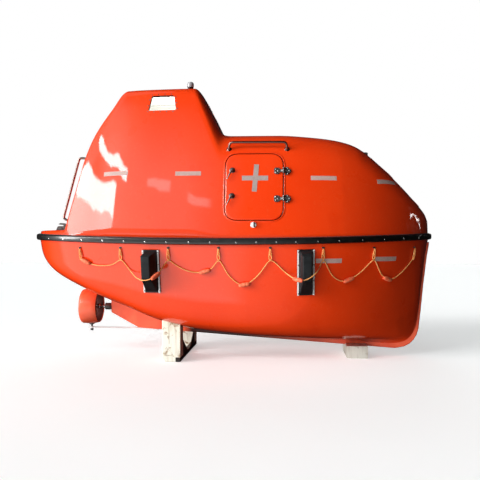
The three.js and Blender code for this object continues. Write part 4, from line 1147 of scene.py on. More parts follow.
def panel(skin, at, outline, proud, thick, edge=0.010):
    """A curved panel with a rolled outer edge; its inside takes the second slot, and the wall of its edge the
    third, dark seal colour as painted shade in the gap.
    """
    shares = [0.03, 0.16, 0.30, 0.44, 0.57, 0.69, 0.80, 0.89, 0.95]
    rings = [laid(skin, at, scaled(outline, share), proud) for share in shares]
    turns = np.linspace(0, math.pi / 2, 6)
    rim = [(edge * (1 - math.sin(a)), proud - edge * (1 - math.cos(a))) for a in turns]
    rim += [(0, -thick + 0.006), (0.006, -thick)]
    rings += [laid(skin, at, inset(outline, inwards), lift) for inwards, lift in rim]
    slots = [0] * (len(rings) - 3) + [2, 2]
    inner = [laid(skin, at, scaled(inset(outline, 0.006), share), -thick) for share in shares[::-1]]
    return Builder().rings(rings + inner, slots + [1] * len(inner))


def band(skin, at, outline, section):
    """A closed moulding that follows an outline; the section is (outward, lift)."""
    rings = [laid(skin, at, inset(outline, -away), lift) for away, lift in section]
    return Builder().rings([list(ring) for ring in zip(*rings)], closed=True)


def strip(skin, at, length, width, lift):
    """A thin tape with square ends, laid along u."""
    count = max(2, round(length / TAPE_STEP))
    across = np.linspace(-width / 2, width / 2, 5)
    rings = []
    for i in range(count + 1):
        u = length * (i / count - 0.5)
        top = [skin.lay(at, u, v, lift + TAPE_THICKNESS) for v in across]
        rings.append(top + [skin.lay(at, u, v, lift - 0.0004) for v in across[::-1]])
    return Builder().rings(rings)


BEAD = [(0.0, -0.018), (0.0, 0.001), (0.0015, 0.0045), (0.006, 0.0062), (0.011, 0.0050), (0.015, 0.0015),
        (0.018, -0.002), (0.018, -0.018)]


def framing(name, at, outline):
    """The raised lip round an opening, and the dark red-brown seal inside it, whose tint is painted shade in
    the gap.
    """
    lip = band(canopy_skin, at, outline, BEAD)
    seal = band(canopy_skin, at, outline, box_outline(-0.0020, -0.043, 0.0004, -0.006))
    return (lip, f"{name}_lip", GELCOAT), (seal, f"{name}_seal", SEAL_AND_GAP_SHADE)


# Hinges, handles and rails

PIN_OUT, PIN_RADIUS, KNUCKLE = 0.028, 0.006, 0.013
PROUD = 0.010  # a door or lid over the skin round it
RAIL_RADIUS = 0.014


def add_turned(builder, at, low, high, radius, sides=24, bore=0.0):
    """Adds a turned length about the pin's line, with eased ends."""
    turned = at @ Matrix.Translation((0, 0, PIN_OUT)) @ Matrix.Rotation(-math.pi / 2, 4, "X")
    ease = min(0.0015, radius * 0.2)
    profile = [(radius - ease, low), (radius, low + ease), (radius, high - ease), (radius - ease, high)]
    if bore:
        profile = [(bore, low), *profile, (bore, high), (bore, low)]
    builder.lathe(profile, turned, sides)


# Outlines of the two pads of a hinge, from the pin outwards: u away from the pin, v along it
LEAF_PAD = [(-0.014, -0.016), (-0.042, -0.016), (-0.052, -0.038), (-0.100, -0.038), (-0.114, -0.016),
            (-0.106, 0.0)]
LEAF_PAD += [(u, -v) for u, v in LEAF_PAD[-2::-1]]
BASE_PAD = [(0.016, -0.047), (0.050, -0.047), (0.060, -0.026), (0.078, -0.021), (0.083, 0.0)]
BASE_PAD += [(u, -v) for u, v in BASE_PAD[-2::-1]]
LEAF_BOLTS = [(-0.086, -0.020), (-0.086, 0.020), (-0.062, 0.0)]
BASE_BOLTS = [(0.046, -0.034), (0.046, 0.034), (0.066, 0.0)]


def hinge_leaf(at, v, bolts):
    """The leaf on the panel: a lobed strap, its neck and its knuckle."""
    leaf = Builder()
    here = shifted(at, v=v)
    leaf.slab(rounded_quad(LEAF_PAD, 0.012, 4), -0.003, PROUD + 0.008, 0.002, here)
    neck = [(-0.034, -0.004), (-0.020, -0.004), (-0.006, PIN_OUT - 0.012), (0.003, PIN_OUT - 0.010),
            (-0.003, PIN_OUT + 0.010), (-0.014, PIN_OUT + 0.004), (-0.034, PROUD + 0.008)]
    edge_on = here @ Matrix.Rotation(math.pi / 2, 4, "X")
    leaf.slab(neck, -0.0125, 0.0125, 0.0012, edge_on)
    add_turned(leaf, here, -0.013, 0.013, KNUCKLE, bore=PIN_RADIUS + 0.0004)
    for u, side in LEAF_BOLTS:
        bolts.lathe(bolt_profile(0.0084, 0.007), shifted(here, u, side, PROUD + 0.008), 12)
    return leaf


def hinge_bracket(at, v, bolts):
    """The bracket on the canopy: a lobed base and two cheeks."""
    bracket = Builder()
    here = shifted(at, v=v)
    bracket.slab(rounded_quad(BASE_PAD, 0.012, 4), -0.003, 0.009, 0.002, here)
    cheek = [(0.014, 0.002), (0.040, 0.002), (0.036, 0.018), (0.014, 0.038)]
    cheek += [(0.0145 * math.cos(a), PIN_OUT + 0.0145 * math.sin(a))
              for a in np.linspace(math.radians(48), math.radians(262), 12)]
    edge_on = here @ Matrix.Rotation(math.pi / 2, 4, "X")
    for centre in (-0.024, 0.024):
        bracket.slab(cheek, -centre - 0.006, -centre + 0.006, 0.0012, edge_on)
    for u, side in BASE_BOLTS:
        bolts.lathe(bolt_profile(0.0080, 0.0065), shifted(here, u, side, 0.009), 12)
    return bracket


def hinge_pin(at, low, high):
    """A pin through every knuckle from low to high, with a hexagonal head at each end."""
    pin = Builder()
    add_turned(pin, at, low - 0.033, high + 0.033, PIN_RADIUS, 20)
    add_turned(pin, at, low - 0.0385, low - 0.031, 0.0098, 6)
    add_turned(pin, at, high + 0.031, high + 0.0385, 0.0098, 6)
    return pin


def lever_handle(at, u, v, turn):
    """A round boss with a stepped cap, and a tapered lever that cranks out to a rounded end."""
    profile = [(0.034, -0.004), (0.034, PROUD + 0.003), (0.031, PROUD + 0.006), (0.0215, PROUD + 0.008),
               (0.0195, 0.026), (0.0175, 0.030), (0.0175, 0.0445), (0.0150, 0.048), (0.006, 0.049),
               (0.0055, 0.047), (0.0005, 0.047)]
    here = shifted(at, u, v)
    boss = Builder().lathe(profile, here, 32)
    boss.studs(screw_profile(0.0032), here, 0.0275, (0.6, 2.7, 4.8), PROUD + 0.0055, 8)
    grip = shifted(here, turn=turn)
    rings = []
    for share in np.linspace(0, 1, 14):
        along = -0.012 + 0.146 * share
        half = 0.0090 - 0.004 * share + 0.0012 * math.sin(math.pi * share)
        half *= math.sqrt(max(0.03, 1 - max(0, (share - 0.93) / 0.07) ** 2 * 0.9))
        centre = 0.037 + 0.004 * math.sin(share * math.pi * 0.9)
        rings.append([grip @ Vector((along, half * math.cos(a), centre + 0.0055 * math.sin(a)))
                      for a in np.linspace(0, 2 * math.pi, 16, endpoint=False)])
    return boss, Builder().rings(rings)


def handrail(at, feet, rise, lift=0.0):
    """A bent rail with flanged feet. lift: how much further up the skin its bar lies than its feet."""
    (u0, v0), (u1, v1) = feet
    along = at.to_3x3() @ Vector((u1 - u0, v1 - v0, 0)).normalized() * 0.014
    raised = at.to_3x3() @ Vector((0, lift, 0))
    lows = [canopy_skin.lay(at, u, v) for u, v in feet]
    out = [canopy_skin.normal(p) for p in lows]
    tops = [low + normal * rise + raised for low, normal in zip(lows, out)]
    corners = [lows[0] - out[0] * 0.004, lows[0] + out[0] * rise * 0.3, tops[0] + along,
               tops[1] - along, lows[1] + out[1] * rise * 0.3, lows[1] - out[1] * 0.004]
    rail = Builder().tube(curve_through(filleted(corners, 0.055, 10), 0.012), RAIL_RADIUS, 20)
    for low, normal in zip(lows, out):
        foot = on_path(low, normal)
        rail.lathe([(0.030, -0.003), (0.030, 0.003), (0.028, 0.0048), (0.020, 0.0055), (0.0145, 0.009),
                    (0.0142, 0.014)], foot, 28)
        rail.studs(screw_profile(0.0036), foot, 0.0235, (0.5, 2.1, 3.6, 5.2), 0.004, 10)
    return rail


# Doors

DOOR_HINGE_VS = (0.184, -0.151)
door_hinge_at = shifted(door_at, DOOR["width"] / 2 + DOOR_GAP / 2)


def build_door_panels():
    leaf = panel(canopy_skin, door_at, grown(DOOR, 0), PROUD, WALL, 0.014)
    pair(leaf, "door_panel_{side}", [GELCOAT, LINING, SEAL_AND_GAP_SHADE], "door_{side}", ["door_{side}"])


def build_door_hinges():
    straps, strap_bolts, base_bolts = Builder(), Builder(), Builder()
    for number, v in enumerate(DOOR_HINGE_VS, 1):
        straps.join(hinge_leaf(door_hinge_at, v, strap_bolts))
        bracket = hinge_bracket(door_hinge_at, v, base_bolts)
        base_bolts.join(hinge_pin(door_hinge_at, v, v))
        pair(bracket, f"door_bracket_{{side}}_{number}", DARK_STEEL,
             replaces=[f"door_hinge_{{side}}_{number}"])
    pair(straps, "door_straps_{side}", DARK_STEEL, "door_{side}")
    pair(strap_bolts, "door_strap_bolts_{side}", STEEL, "door_{side}")
    pair(base_bolts, "door_bracket_bolts_{side}", STEEL)


def build_door_latches():
    for level, u, v, turn in (("upper", -0.255, 0.195, -115), ("lower", -0.253, -0.115, -117)):
        boss, lever = lever_handle(door_at, u, v, math.radians(turn))
        pair(boss, f"latch_boss_{{side}}_{level}", DARK_STEEL, "door_{side}",
             [f"door_handle_{{side}}_{level}"])
        pair(lever, f"latch_lever_{{side}}_{level}", STEEL, "door_{side}")


def build_door_tapes():
    cross = strip(canopy_skin, shifted(door_at, 0.008, 0.099), 0.300, 0.058, PROUD + 0.0004)
    upright_at = shifted(door_at, 0.013, 0.100, turn=math.radians(86))
    upright = strip(canopy_skin, upright_at, 0.330, 0.056, PROUD + 0.0012)
    pair(cross, "door_tape_{side}", DULL_TAPE, "door_{side}")
    pair(upright, "door_tape_upright_{side}", DULL_TAPE, "door_{side}")


def build_doorways():
    """The frame round each doorway, the rail over it and the pad eye under it."""
    for part, name, material in framing("door", door_at, grown(DOOR, DOOR_GAP)):
        pair(part, name + "_{side}", material)
    rail = handrail(door_at, [(-0.300, 0.464), (0.372, 0.464)], 0.066, 0.045)
    pair(rail, "door_handrail_{side}", RAIL_STEEL_WITH_REFLECTION, "boat", ["door_rail_{side}"])
    # The pale base and the dark loop set to its right side are painted highlight and painted shade: a bright
    # left and a dark right.
    eye_base, eye_loop = pad_eye(door_at, -0.002, -0.455)
    pair(eye_base, "door_eye_base_{side}", PALE_METAL)
    pair(eye_loop, "door_eye_loop_{side}", DARK_STEEL)


def pad_eye(at, u, v):
    """A small round base with four screws, and the bar loop on it."""
    here = Matrix(shifted(at, u, v))
    here.translation = canopy_skin.lay(at, u, v)
    base = Builder().lathe([(0.034, -0.004), (0.034, 0.003), (0.031, 0.005), (0.0005, 0.005)], here, 32)
    base.studs(screw_profile(0.0042), here, 0.026, (0.8, 2.4, 3.9, 5.5), 0.005, 10)
    arch = filleted([(0.010, -0.019, -0.002), (0.010, -0.020, 0.040), (0.010, 0.020, 0.040),
                     (0.010, 0.019, -0.002)], 0.020, 8)
    return base, Builder().tube([here @ p for p in arch], 0.0085, 14)


# Tapes on the canopy and hull: x and z of the middle, and on the canopy the turn in degrees
CANOPY_TAPES = [(-1.300, 2.230, 2), (-0.436, 2.218, 0), (1.123, 2.158, 0), (1.885, 2.138, -1)]
HULL_TAPES = [(1.172, 1.216), (1.842, 1.232)]
TAPE_SIZE = (0.300, 0.052)


def build_tapes():
    tapes = Builder()
    for x, z, turn in CANOPY_TAPES:
        at = level_place(canopy_skin, side_place(x, z).translation, math.radians(turn))
        tapes.join(strip(canopy_skin, at, *TAPE_SIZE, 0.0004))
    for x, z in HULL_TAPES:
        tapes.join(strip(hull_skin, hull_place(x, z), *TAPE_SIZE, 0.0004))
    pair(tapes, "side_tapes_{side}", TAPE)


# Hatches


def build_hatches():
    for name, hatch in HATCHES.items():
        at = hatch["at"]
        lid = panel(canopy_skin, at, grown(hatch, 0), PROUD, WALL, 0.014)
        lid.make(f"{name}_lid", [GELCOAT, LINING, SEAL_AND_GAP_SHADE], name, [name])
        hinge_at = shifted(at, hatch["hinge"][0], hatch["hinge"][1], 0, hatch["hinge"][2])
        straps, brackets, strap_bolts, base_bolts = Builder(), Builder(), Builder(), Builder()
        for v in (-hatch["spread"], hatch["spread"]):
            straps.join(hinge_leaf(hinge_at, v, strap_bolts))
            brackets.join(hinge_bracket(hinge_at, v, base_bolts))
        base_bolts.join(hinge_pin(hinge_at, -hatch["spread"], hatch["spread"]))
        straps.make(f"{name}_straps", DARK_STEEL, name)
        strap_bolts.make(f"{name}_strap_bolts", STEEL, name)
        brackets.make(f"{name}_brackets", DARK_STEEL, "boat", [f"{name}_hinge"])
        base_bolts.make(f"{name}_bracket_bolts", STEEL)
        for part, part_name, material in framing(name, at, grown(hatch, DOOR_GAP)):
            part.make(part_name, material)
        u, v, turn = hatch["latch"]
        boss, lever = lever_handle(at, u, v, turn)
        boss.make(f"{name}_latch_boss", DARK_STEEL, name)
        lever.make(f"{name}_latch_lever", STEEL, name)


# Windows

WINDOW_SCREWS = 14


def window_parts(at, corners):
    outline = rounded_quad(corners, WINDOW_RADIUS, 8)
    glass = Builder().slab(inset(outline, 0.0006), -0.024, -0.016, 0.0008, at)
    trim = Builder()
    for low in (-0.002, -0.014):
        trim.join(band(canopy_skin, at, outline, box_outline(-0.0035, low - 0.012, -0.0008, low)))
    screws = Builder()
    line_of_screws = inset(outline, -0.017)
    ring = curve_through([(u, v, 0) for u, v in line_of_screws + line_of_screws[:1]], 0.001)
    for i in range(WINDOW_SCREWS):
        spot = ring[int((i + 0.5) / WINDOW_SCREWS * (len(ring) - 1))]
        here = Matrix(at)
        here.translation = canopy_skin.lay(at, spot.x, spot.y)
        screws.lathe(bolt_profile(0.0046, 0.0045), here, 12)
    return glass, trim, screws


def build_windows():
    glass, trim, screws = window_parts(side_window_at, SIDE_WINDOW["corners"])
    pair(glass, "window_pane_{side}", GLASS, "boat", ["window_{side}"])
    pair(trim, "window_seal_{side}", SEAL_AND_GAP_SHADE)
    pair(screws, "window_screws_{side}", DARK_STEEL)
    for name, window in END_WINDOWS.items():
        glass, trim, screws = window_parts(window["at"], window["corners"])
        glass.make(f"window_pane_{name}", GLASS, "boat", [f"window_{name}"])
        trim.make(f"window_seal_{name}", SEAL_AND_GAP_SHADE)
        screws.make(f"window_screws_{name}", DARK_STEEL)


def build_stern_rails():
    rail = handrail(HATCHES["aft_hatch"]["at"], [(0.640, -0.440), (0.545, 0.338)], 0.088)
    pair(rail, "stern_handrail_{side}", RAIL_STEEL_WITH_REFLECTION, "boat", ["aft_rail_{side}"])


def build_lamp():
    """A masthead lamp: base, slim stem and dome."""
    at = facing_up(-0.540, 3.302)
    base = [(0.052, -0.004), (0.052, 0.004), (0.049, 0.008), (0.040, 0.012), (0.030, 0.030),
            (0.0235, 0.056), (0.0215, 0.064), (0.0215, 0.092), (0.026, 0.098), (0.036, 0.102),
            (0.0385, 0.108), (0.0385, 0.116), (0.030, 0.118)]
    dome = [(0.034, 0.114), (0.040, 0.117), (0.0415, 0.122), (0.0425, 0.138), (0.0425, 0.156),
            (0.0400, 0.168), (0.034, 0.178), (0.025, 0.1845), (0.013, 0.1875), (0.001, 0.188)]
    Builder().lathe(base, at, 40).make("lamp_stem", BLACK, "boat", ["lamp"])
    Builder().lathe(dome, at, 40).make("lamp_dome", LENS)
    screws = Builder().studs(screw_profile(0.004), at, 0.0445, (0.4, 1.97, 3.54, 5.11), 0.0085, 10)
    screws.make("lamp_screws", STEEL)


# Stern gear

shaft_at = facing_forward(NOZZLE_X, SHAFT_Z)


def build_nozzle_ring():
    """The steering nozzle, dark red inside as painted shade; its profile is (radius, distance forward)."""
    profile = [(0.2000, 0.060), (0.2008, 0.098), (0.2040, 0.1085), (0.2085, 0.1060), (0.2150, 0.085),
               (0.2205, 0.045), (0.2235, -0.005), (0.2240, -0.045), (0.2225, -0.088), (0.2190, -0.102),
               (0.2125, -0.1115), (0.2050, -0.1110), (0.2010, -0.1040), (0.2000, -0.050)]
    # The inside bands take the dark red: painted shade.
    slots = [1] + [0] * (len(profile) - 4) + [1] * 3
    ring = Builder().lathe(profile, shaft_at, 96, slots, closed=True)
    ring.make("nozzle_ring", [SKEG_PAINT, NOZZLE_SHADE_RED], "nozzle", ["nozzle"])


def build_nozzle_stock():
    """The stock with its flange and bolts above the nozzle, and the heel with its pintle below."""
    upright = facing_up(NOZZLE_X, SHAFT_Z)
    stock = Builder().lathe([(0.020, 0.205), (0.020, 0.2475)], upright, 28)
    stock.lathe([(0.050, 0.205), (0.050, 0.229), (0.047, 0.232), (0.026, 0.234), (0.020, 0.240)], upright, 36)
    angles = [math.pi / 3 * number + 0.2 for number in range(6)]
    stock.studs(bolt_profile(0.0055, 0.006), upright, 0.038, angles, 0.2315, 12)
    stock.lathe([(0.010, -0.292), (0.014, -0.289), (0.014, -0.232), (0.030, -0.236), (0.034, -0.232),
                 (0.036, -0.205)], upright, 32)
    stock.make("nozzle_stock", DARK_STEEL, "nozzle")


def build_stock_collar():
    collar = [(0.0225, -0.022), (0.040, -0.022), (0.043, -0.018), (0.043, 0.008), (0.0225, 0.008)]
    Builder().lathe(collar, facing_up(NOZZLE_X, 0.848), 32).make("stock_collar", DARK_STEEL)


BLADES, BLADE_PITCH = 4, 0.53
BLADE_ROOT, BLADE_TIP = 0.028, 0.178


def blade_section(share):
    """Half chord and half thickness of a blade at a share of its length."""
    chord = 0.034 + 0.036 * math.sin(math.pi * min(share * 0.80 + 0.02, 1)) ** 0.9
    chord *= math.sqrt(max(0.02, 1 - max(0, (share - 0.62) / 0.38) ** 2.6))
    return chord, 0.0062 * (1 - share) + 0.0018


def blade_ring(radius, around):
    """A blade's section at a radius, wrapped round the shaft."""
    share = (radius - BLADE_ROOT) / (BLADE_TIP - BLADE_ROOT)
    chord, thick = blade_section(share)
    pitch = math.atan(BLADE_PITCH / (2 * math.pi * radius))
    skew = 0.30 * share ** 2
    ring = []
    for step in range(20):
        turn = 2 * math.pi * step / 20
        s = chord * math.cos(turn)
        t = thick * math.sin(turn) * (1 - 0.35 * math.cos(turn))
        angle = around - skew + (s * math.cos(pitch) - t * math.sin(pitch)) / radius
        ring.append(shaft_at @ Vector((radius * math.cos(angle), radius * math.sin(angle),
                                       s * math.sin(pitch) + t * math.cos(pitch))))
    return ring


def build_propeller():
    """Twisted blades on a boss with a fairing cone aft."""
    wheel = Builder()
    for blade in range(BLADES):
        around = 2 * math.pi * blade / BLADES + 0.35
        wheel.rings([blade_ring(radius, around) for radius in np.linspace(0.026, 0.1785, 22)])
    boss = [(0.001, -0.100), (0.010, -0.098), (0.022, -0.088), (0.031, -0.070), (0.0365, -0.048),
            (0.040, -0.044), (0.0412, -0.020), (0.0412, 0.030), (0.039, 0.040), (0.030, 0.046),
            (0.0215, 0.048)]
    wheel.lathe(boss, shaft_at, 40)
    wheel.make("propeller_wheel", BRONZE_WITH_REFLECTION, "propeller", ["propeller"])


def build_propeller_shaft():
    shaft = Builder().lathe([(0.021, 0.040), (0.021, 0.262)], shaft_at, 32)
    shaft.lathe([(0.0225, 0.075), (0.033, 0.077), (0.034, 0.080), (0.034, 0.112), (0.032, 0.116),
                 (0.0225, 0.117)], shaft_at, 32)
    shaft.make("propeller_shaft_bar", STEEL, "propeller")


def build_sole_piece():
    """A flat bar under the nozzle with a bush for the pintle, bolted up under the keel."""
    under = [(x, keel_line(x) - SEAT_GAP) for x in (SKEG_FOOT_X, -0.960)]
    profile = [(-1.885, 0.316), *under, *((x, z - 0.012) for x, z in under[::-1]), (-1.885, 0.304)]
    bar = Builder().slab(profile, 0, 0.056, 0.002, facing_starboard(0.028))
    bush = facing_up(NOZZLE_X, 0.31)
    bar.lathe([(0.0148, -0.010), (0.026, -0.010), (0.027, -0.008), (0.027, 0.012), (0.026, 0.014),
               (0.0148, 0.014)], bush, 32)
    for x in (-1.19, -1.11, -1.03, -0.98):
        bar.lathe(bolt_profile(0.007, 0.008), place((x, 0, keel_line(x) - 0.0123), (1, 0, 0), (0, -1, 0)), 12)
    bar.make("sole_bar", PALE_METAL, "boat", ["sole_piece"])
    nut = Builder().slab(rounded_quad(circle(0.021, 6), 0.002, 2), -0.038, -0.012, 0.0015, bush)
    nut.make("pintle_nut", DARK_STEEL)


# Skates on the sides

SKATES = {"aft": (-0.830, 0.852, 1.341), "forward": (0.912, 0.832, 1.347)}
SKATE_WIDTH, SKATE_BLOCK, SKATE_FACE = 0.194, 0.144, 0.088
SKATE_TOP, SKATE_OUT = 0.022, 0.204
SKATE_SHIFT = 0.012  # how much further aft the outer face lies
SKATE_RIM = 0.018


def skate_place(x, low, high):
    y_low, y_high = side_at(x, low), side_at(x, high)
    middle = (low + high) / 2
    swing = (side_at(x + 0.1, middle) - side_at(x - 0.1, middle)) / 0.2
    up = Vector((0, y_low - y_high, high - low)).normalized()
    along = Vector((1, -swing, 0))
    along = (along - up * along.dot(up)).normalized()
    return place((x, -(y_low + y_high) / 2, middle), along, up), math.hypot(y_high - y_low, high - low)


def skate_frame(at, half):
    """The rim bars along the plate's sides, and their bolts."""
    rim, bolts = Builder(), Builder()
    edge, ledge = SKATE_WIDTH / 2, SKATE_WIDTH / 2 - SKATE_RIM
    for side in (-1, 1):
        bar = box_outline(side * ledge, -half + 0.002, side * edge, half - 0.002)
        rim.slab(bar, SKATE_TOP - 0.002, SKATE_TOP + 0.005, 0.0012, at)
        for v in (-half + 0.024, -half * 0.34, half * 0.34, half - 0.024):
            on_rim = shifted(at, side * (ledge + edge) / 2, v, SKATE_TOP + 0.005)
            bolts.lathe(bolt_profile(0.0050, 0.007), on_rim, 12)
    return rim, bolts


def skate_rubber(at, half):
    """A wedge of rubber that narrows outwards to a sloping face with rounded edges."""
    # Levels: n, width, shift aft, lower end, upper end, corner radius
    levels = [
        (SKATE_TOP + SEAT_GAP, SKATE_BLOCK - 0.004, 0, -half + 0.018, half - 0.016, 0.012),
        (SKATE_TOP + 0.004, SKATE_BLOCK, 0, -half + 0.016, half - 0.014, 0.012),
        (SKATE_TOP + 0.030, SKATE_BLOCK - 0.006, 0, -half + 0.040, half - 0.018, 0.012),
        (SKATE_OUT - 0.020, SKATE_FACE + 0.022, SKATE_SHIFT, -half + 0.190, half - 0.030, 0.010),
        (SKATE_OUT - 0.006, SKATE_FACE + 0.006, SKATE_SHIFT, -half + 0.204, half - 0.039, 0.009),
        (SKATE_OUT - 0.001, SKATE_FACE - 0.002, SKATE_SHIFT, -half + 0.212, half - 0.043, 0.008),
        (SKATE_OUT, SKATE_FACE - 0.012, SKATE_SHIFT, -half + 0.218, half - 0.048, 0.006),
    ]
    rings = []
    for n, width, aft, v0, v1, radius in levels:
        outline = rounded_quad(box_outline(-width / 2, v0, width / 2, v1), radius, 5)
        rings.append([at @ Vector((u - aft, v, n)) for u, v in outline])
    return Builder().rings(rings)


def build_skates():
    for name, (x, low, high) in SKATES.items():
        at, height = skate_place(x, low, high)
        outline = rounded_box(SKATE_WIDTH, height, 0.008, 5)
        plate = carved(Builder().slab(outline, -0.040, SKATE_TOP - 0.001, 0.002, at), hull_block)
        rim, bolts = skate_frame(at, height / 2)
        pair(plate, f"skate_frame_{{side}}_{name}", BLACK, replaces=[f"skate_plate_{{side}}_{name}"])
        pair(rim, f"skate_rim_{{side}}_{name}", PALE_METAL)
        pair(bolts, f"skate_bolts_{{side}}_{name}", STEEL)
        pair(skate_rubber(at, height / 2), f"skate_rubber_{{side}}_{name}", BLOCK_RUBBER,
             replaces=[f"skate_block_{{side}}_{name}"], smooth=28)


# Lifting hooks


def lifting_hook(x, base, height):
    fitting = Builder()
    floor_at = Matrix.Translation((x, 0, base))
    fitting.slab(rounded_box(0.160, 0.104, 0.012), 0, 0.014, 0.002, floor_at)
    for u in (-0.062, 0.062):
        for v in (-0.042, 0.042):
            fitting.lathe(bolt_profile(0.0075, 0.008), shifted(floor_at, u, v, 0.014), 12)
    upright = facing_starboard(0, x, base)
    cheek = [(-0.075, 0.008), (0.075, 0.008), (0.052, height * 0.62), (-0.052, height * 0.62)]
    for side in (-0.034, 0.034):
        fitting.slab(rounded_quad(cheek, 0.020, 6), side - 0.006, side + 0.006, 0.0015, upright)
    claw = [(-0.060, 0.12), (0.045, 0.12), (0.058, 0.45), (0.062, 0.72), (0.048, 0.90), (0.030, 0.97),
            (0.0, 1.0), (-0.025, 1.0), (-0.052, 0.86), (-0.030, 0.80), (0.008, 0.78), (0.018, 0.70),
            (0.020, 0.62), (0.008, 0.50), (-0.050, 0.48)]
    fitting.slab([(u, share * height) for u, share in claw], -0.020, 0.020, 0.003, upright)
    pin_at = shifted(upright, 0, height * 0.32)
    fitting.lathe([(0.0099, -0.050), (0.011, -0.048), (0.011, 0.048), (0.0099, 0.050)], pin_at, 24)
    fitting.lathe([(0.0165, -0.0465), (0.0165, -0.0395)], pin_at, 6)
    return fitting


def build_hooks():
    lifting_hook(HOOK_AFT, 1.566, 0.106).make("hook_fitting_aft", DARK_STEEL, "boat", ["hook_aft"])
    forward = lifting_hook(HOOK_FORWARD, 1.7003, 0.240)
    forward.make("hook_fitting_forward", DARK_STEEL, replaces=["hook_forward"])


def build_hook_well():
    well_at = Matrix.Translation((HOOK_WELL_X, 0, 1.95))
    lip = [(0.0, -0.014), (0.0, 0.002), (0.003, 0.005), (0.010, 0.005), (0.014, -0.001), (0.014, -0.014)]
    rim = band(canopy_skin, well_at, rounded_box(*HOOK_WELL), lip)
    rim.make("hook_well_lip", GELCOAT)


# Cabin


def build_cabin():
    for side in ("starboard", "port"):
        dress(f"bench_{side}", LINING)
    dress("engine", ENGINE_PAINT)
    profile = [(-1.130, 1.0803), (-0.830, 1.0803), (-0.850, 1.70), (-0.800, 2.13), (-0.720, 2.17),
               (-0.735, 2.25), (-1.090, 2.23), (-1.190, 2.76), (-1.260, 2.74), (-1.180, 2.18)]
    seat = Builder().slab(profile, 0, 0.42, 0.018, facing_starboard(0.21))
    seat.make("helm_chair", LINING, replaces=["helm_seat"], smooth=30)


def dress(name, material):
    """A new material on a solid that stays as it is."""
    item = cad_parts[name]
    for slot in item.material_slots:
        slot.material = material


# Cradle

POST_X, POST_LENGTH, POST_OUTER, POST_INNER = -0.668, 0.222, 0.650, 0.460
POST_CHAMFER, POST_TOE = 0.033, 0.050
FLOOR_GAP = 0.0005
BEAM_WIDTH, BEAM_HEIGHT, BEAM_HALF = 0.060, 0.055, 0.652
GUSSET, GUSSET_TOP, GUSSET_END = 0.012, 0.240, 0.110
CHOCK_X, CHOCK_LENGTH, CHOCK_HALF, CHOCK_TOP = 1.560, 0.260, 0.260, 0.150
POST_AFT, POST_FRONT = POST_X - POST_LENGTH / 2, POST_X + POST_LENGTH / 2
BEAM_AFT = POST_FRONT - BEAM_WIDTH


def build_posts():
    """Blocks with chamfered toes, a seam, a notch and a gap for the beam."""
    aft, front = POST_AFT, POST_FRONT
    profile = [(aft + POST_CHAMFER, 0.001), (front - POST_CHAMFER, 0.001), (front, POST_TOE)]
    profile += line((front, 0.12), (front, 0.66), 9) + [(front, 0.70), (aft, 0.70)]
    profile += line((aft, 0.66), (aft, 0.12), 9) + [(aft, POST_TOE)]
    width = POST_OUTER - POST_INNER
    block = Builder().slab(profile, FLOOR_GAP, width - FLOOR_GAP, 0.006, facing_starboard(-POST_INNER))
    outside = -POST_OUTER - 0.01
    seam = box_block((POST_X - 0.030, outside, 0.215), (POST_X - 0.023, -POST_OUTER + 0.012, 0.70))
    notch = box_block((POST_X - 0.055, outside, 0.072), (POST_X + 0.048, -POST_OUTER + 0.010, 0.082))
    beam_gap = box_block((BEAM_AFT - SEAT_GAP, -BEAM_HALF - 0.01, -0.01),
                         (front + 0.01, 0, BEAM_HEIGHT + SEAT_GAP))
    post = carved(block, hull_block, seam, notch, beam_gap)
    pair(post, "cradle_post_{side}", CREAM, replaces=["cradle_block_{side}"], smooth=25)


def build_beam():
    """A floor beam between the posts, with a gusset at each end."""
    beam_at = facing_forward(BEAM_AFT)
    bar = rounded_quad(box_outline(-BEAM_HALF, FLOOR_GAP, BEAM_HALF, BEAM_HEIGHT), 0.004, 3)
    beam = Builder().slab(bar, 0, BEAM_WIDTH, 0.005, beam_at)
    for sign in (-1, 1):
        foot, end = sign * (POST_INNER - SEAT_GAP), sign * GUSSET_END
        web = [(foot, 0.03), (foot, GUSSET_TOP), (end, BEAM_HEIGHT), (end, 0.03)]
        beam.slab(web, BEAM_WIDTH - GUSSET, BEAM_WIDTH, 0.002, beam_at)
    beam.make("cradle_crossbeam", RUSTED, "boat", ["cradle_beam"])


def build_chock():
    """The low timber under the bow, shaped to the hull and notched for the keel."""
    low_x, high_x = CHOCK_X - CHOCK_LENGTH / 2, CHOCK_X + CHOCK_LENGTH / 2
    outline = box_outline(-CHOCK_HALF, FLOOR_GAP, CHOCK_HALF, CHOCK_TOP)
    chock = Builder().slab(outline, 0, CHOCK_LENGTH, 0.006, facing_forward(low_x))
    half = KEEL_HALF + SEAT_GAP
    keel_gap = Builder().rings([[(x, y, z) for y, z in box_outline(-half, keel_line(x) - SEAT_GAP, half, 0.8)]
                                for x in (low_x - 0.1, high_x + 0.1)])
    shaped = carved(chock, hull_block, keel_gap)
    shaped.make("cradle_forward_chock", TIMBER, replaces=["cradle_chock"], smooth=25)


# Studio: a pale floor, a soft sky that is brighter astern, and large soft lights

FLOOR_SIZE = 60.0


def build_floor():
    pale = dull_material("floor", (0.86, 0.86, 0.86), (0.90, 0.90, 0.90), 0.85, 1.5, 40,
                         Emission_Strength=0.42, Emission_Color=(0.95, 1, 1, 1), Specular_IOR_Level=0.1)
    half = FLOOR_SIZE / 2
    mesh = bpy.data.meshes.new("floor")
    mesh.from_pydata([(u, v, 0) for u, v in box_outline(-half, -half, half, half)], [], [(0, 1, 2, 3)])
    mesh.materials.append(pale)
    piece = linked("floor", mesh)
    piece.visible_diffuse = False
    piece.visible_glossy = False


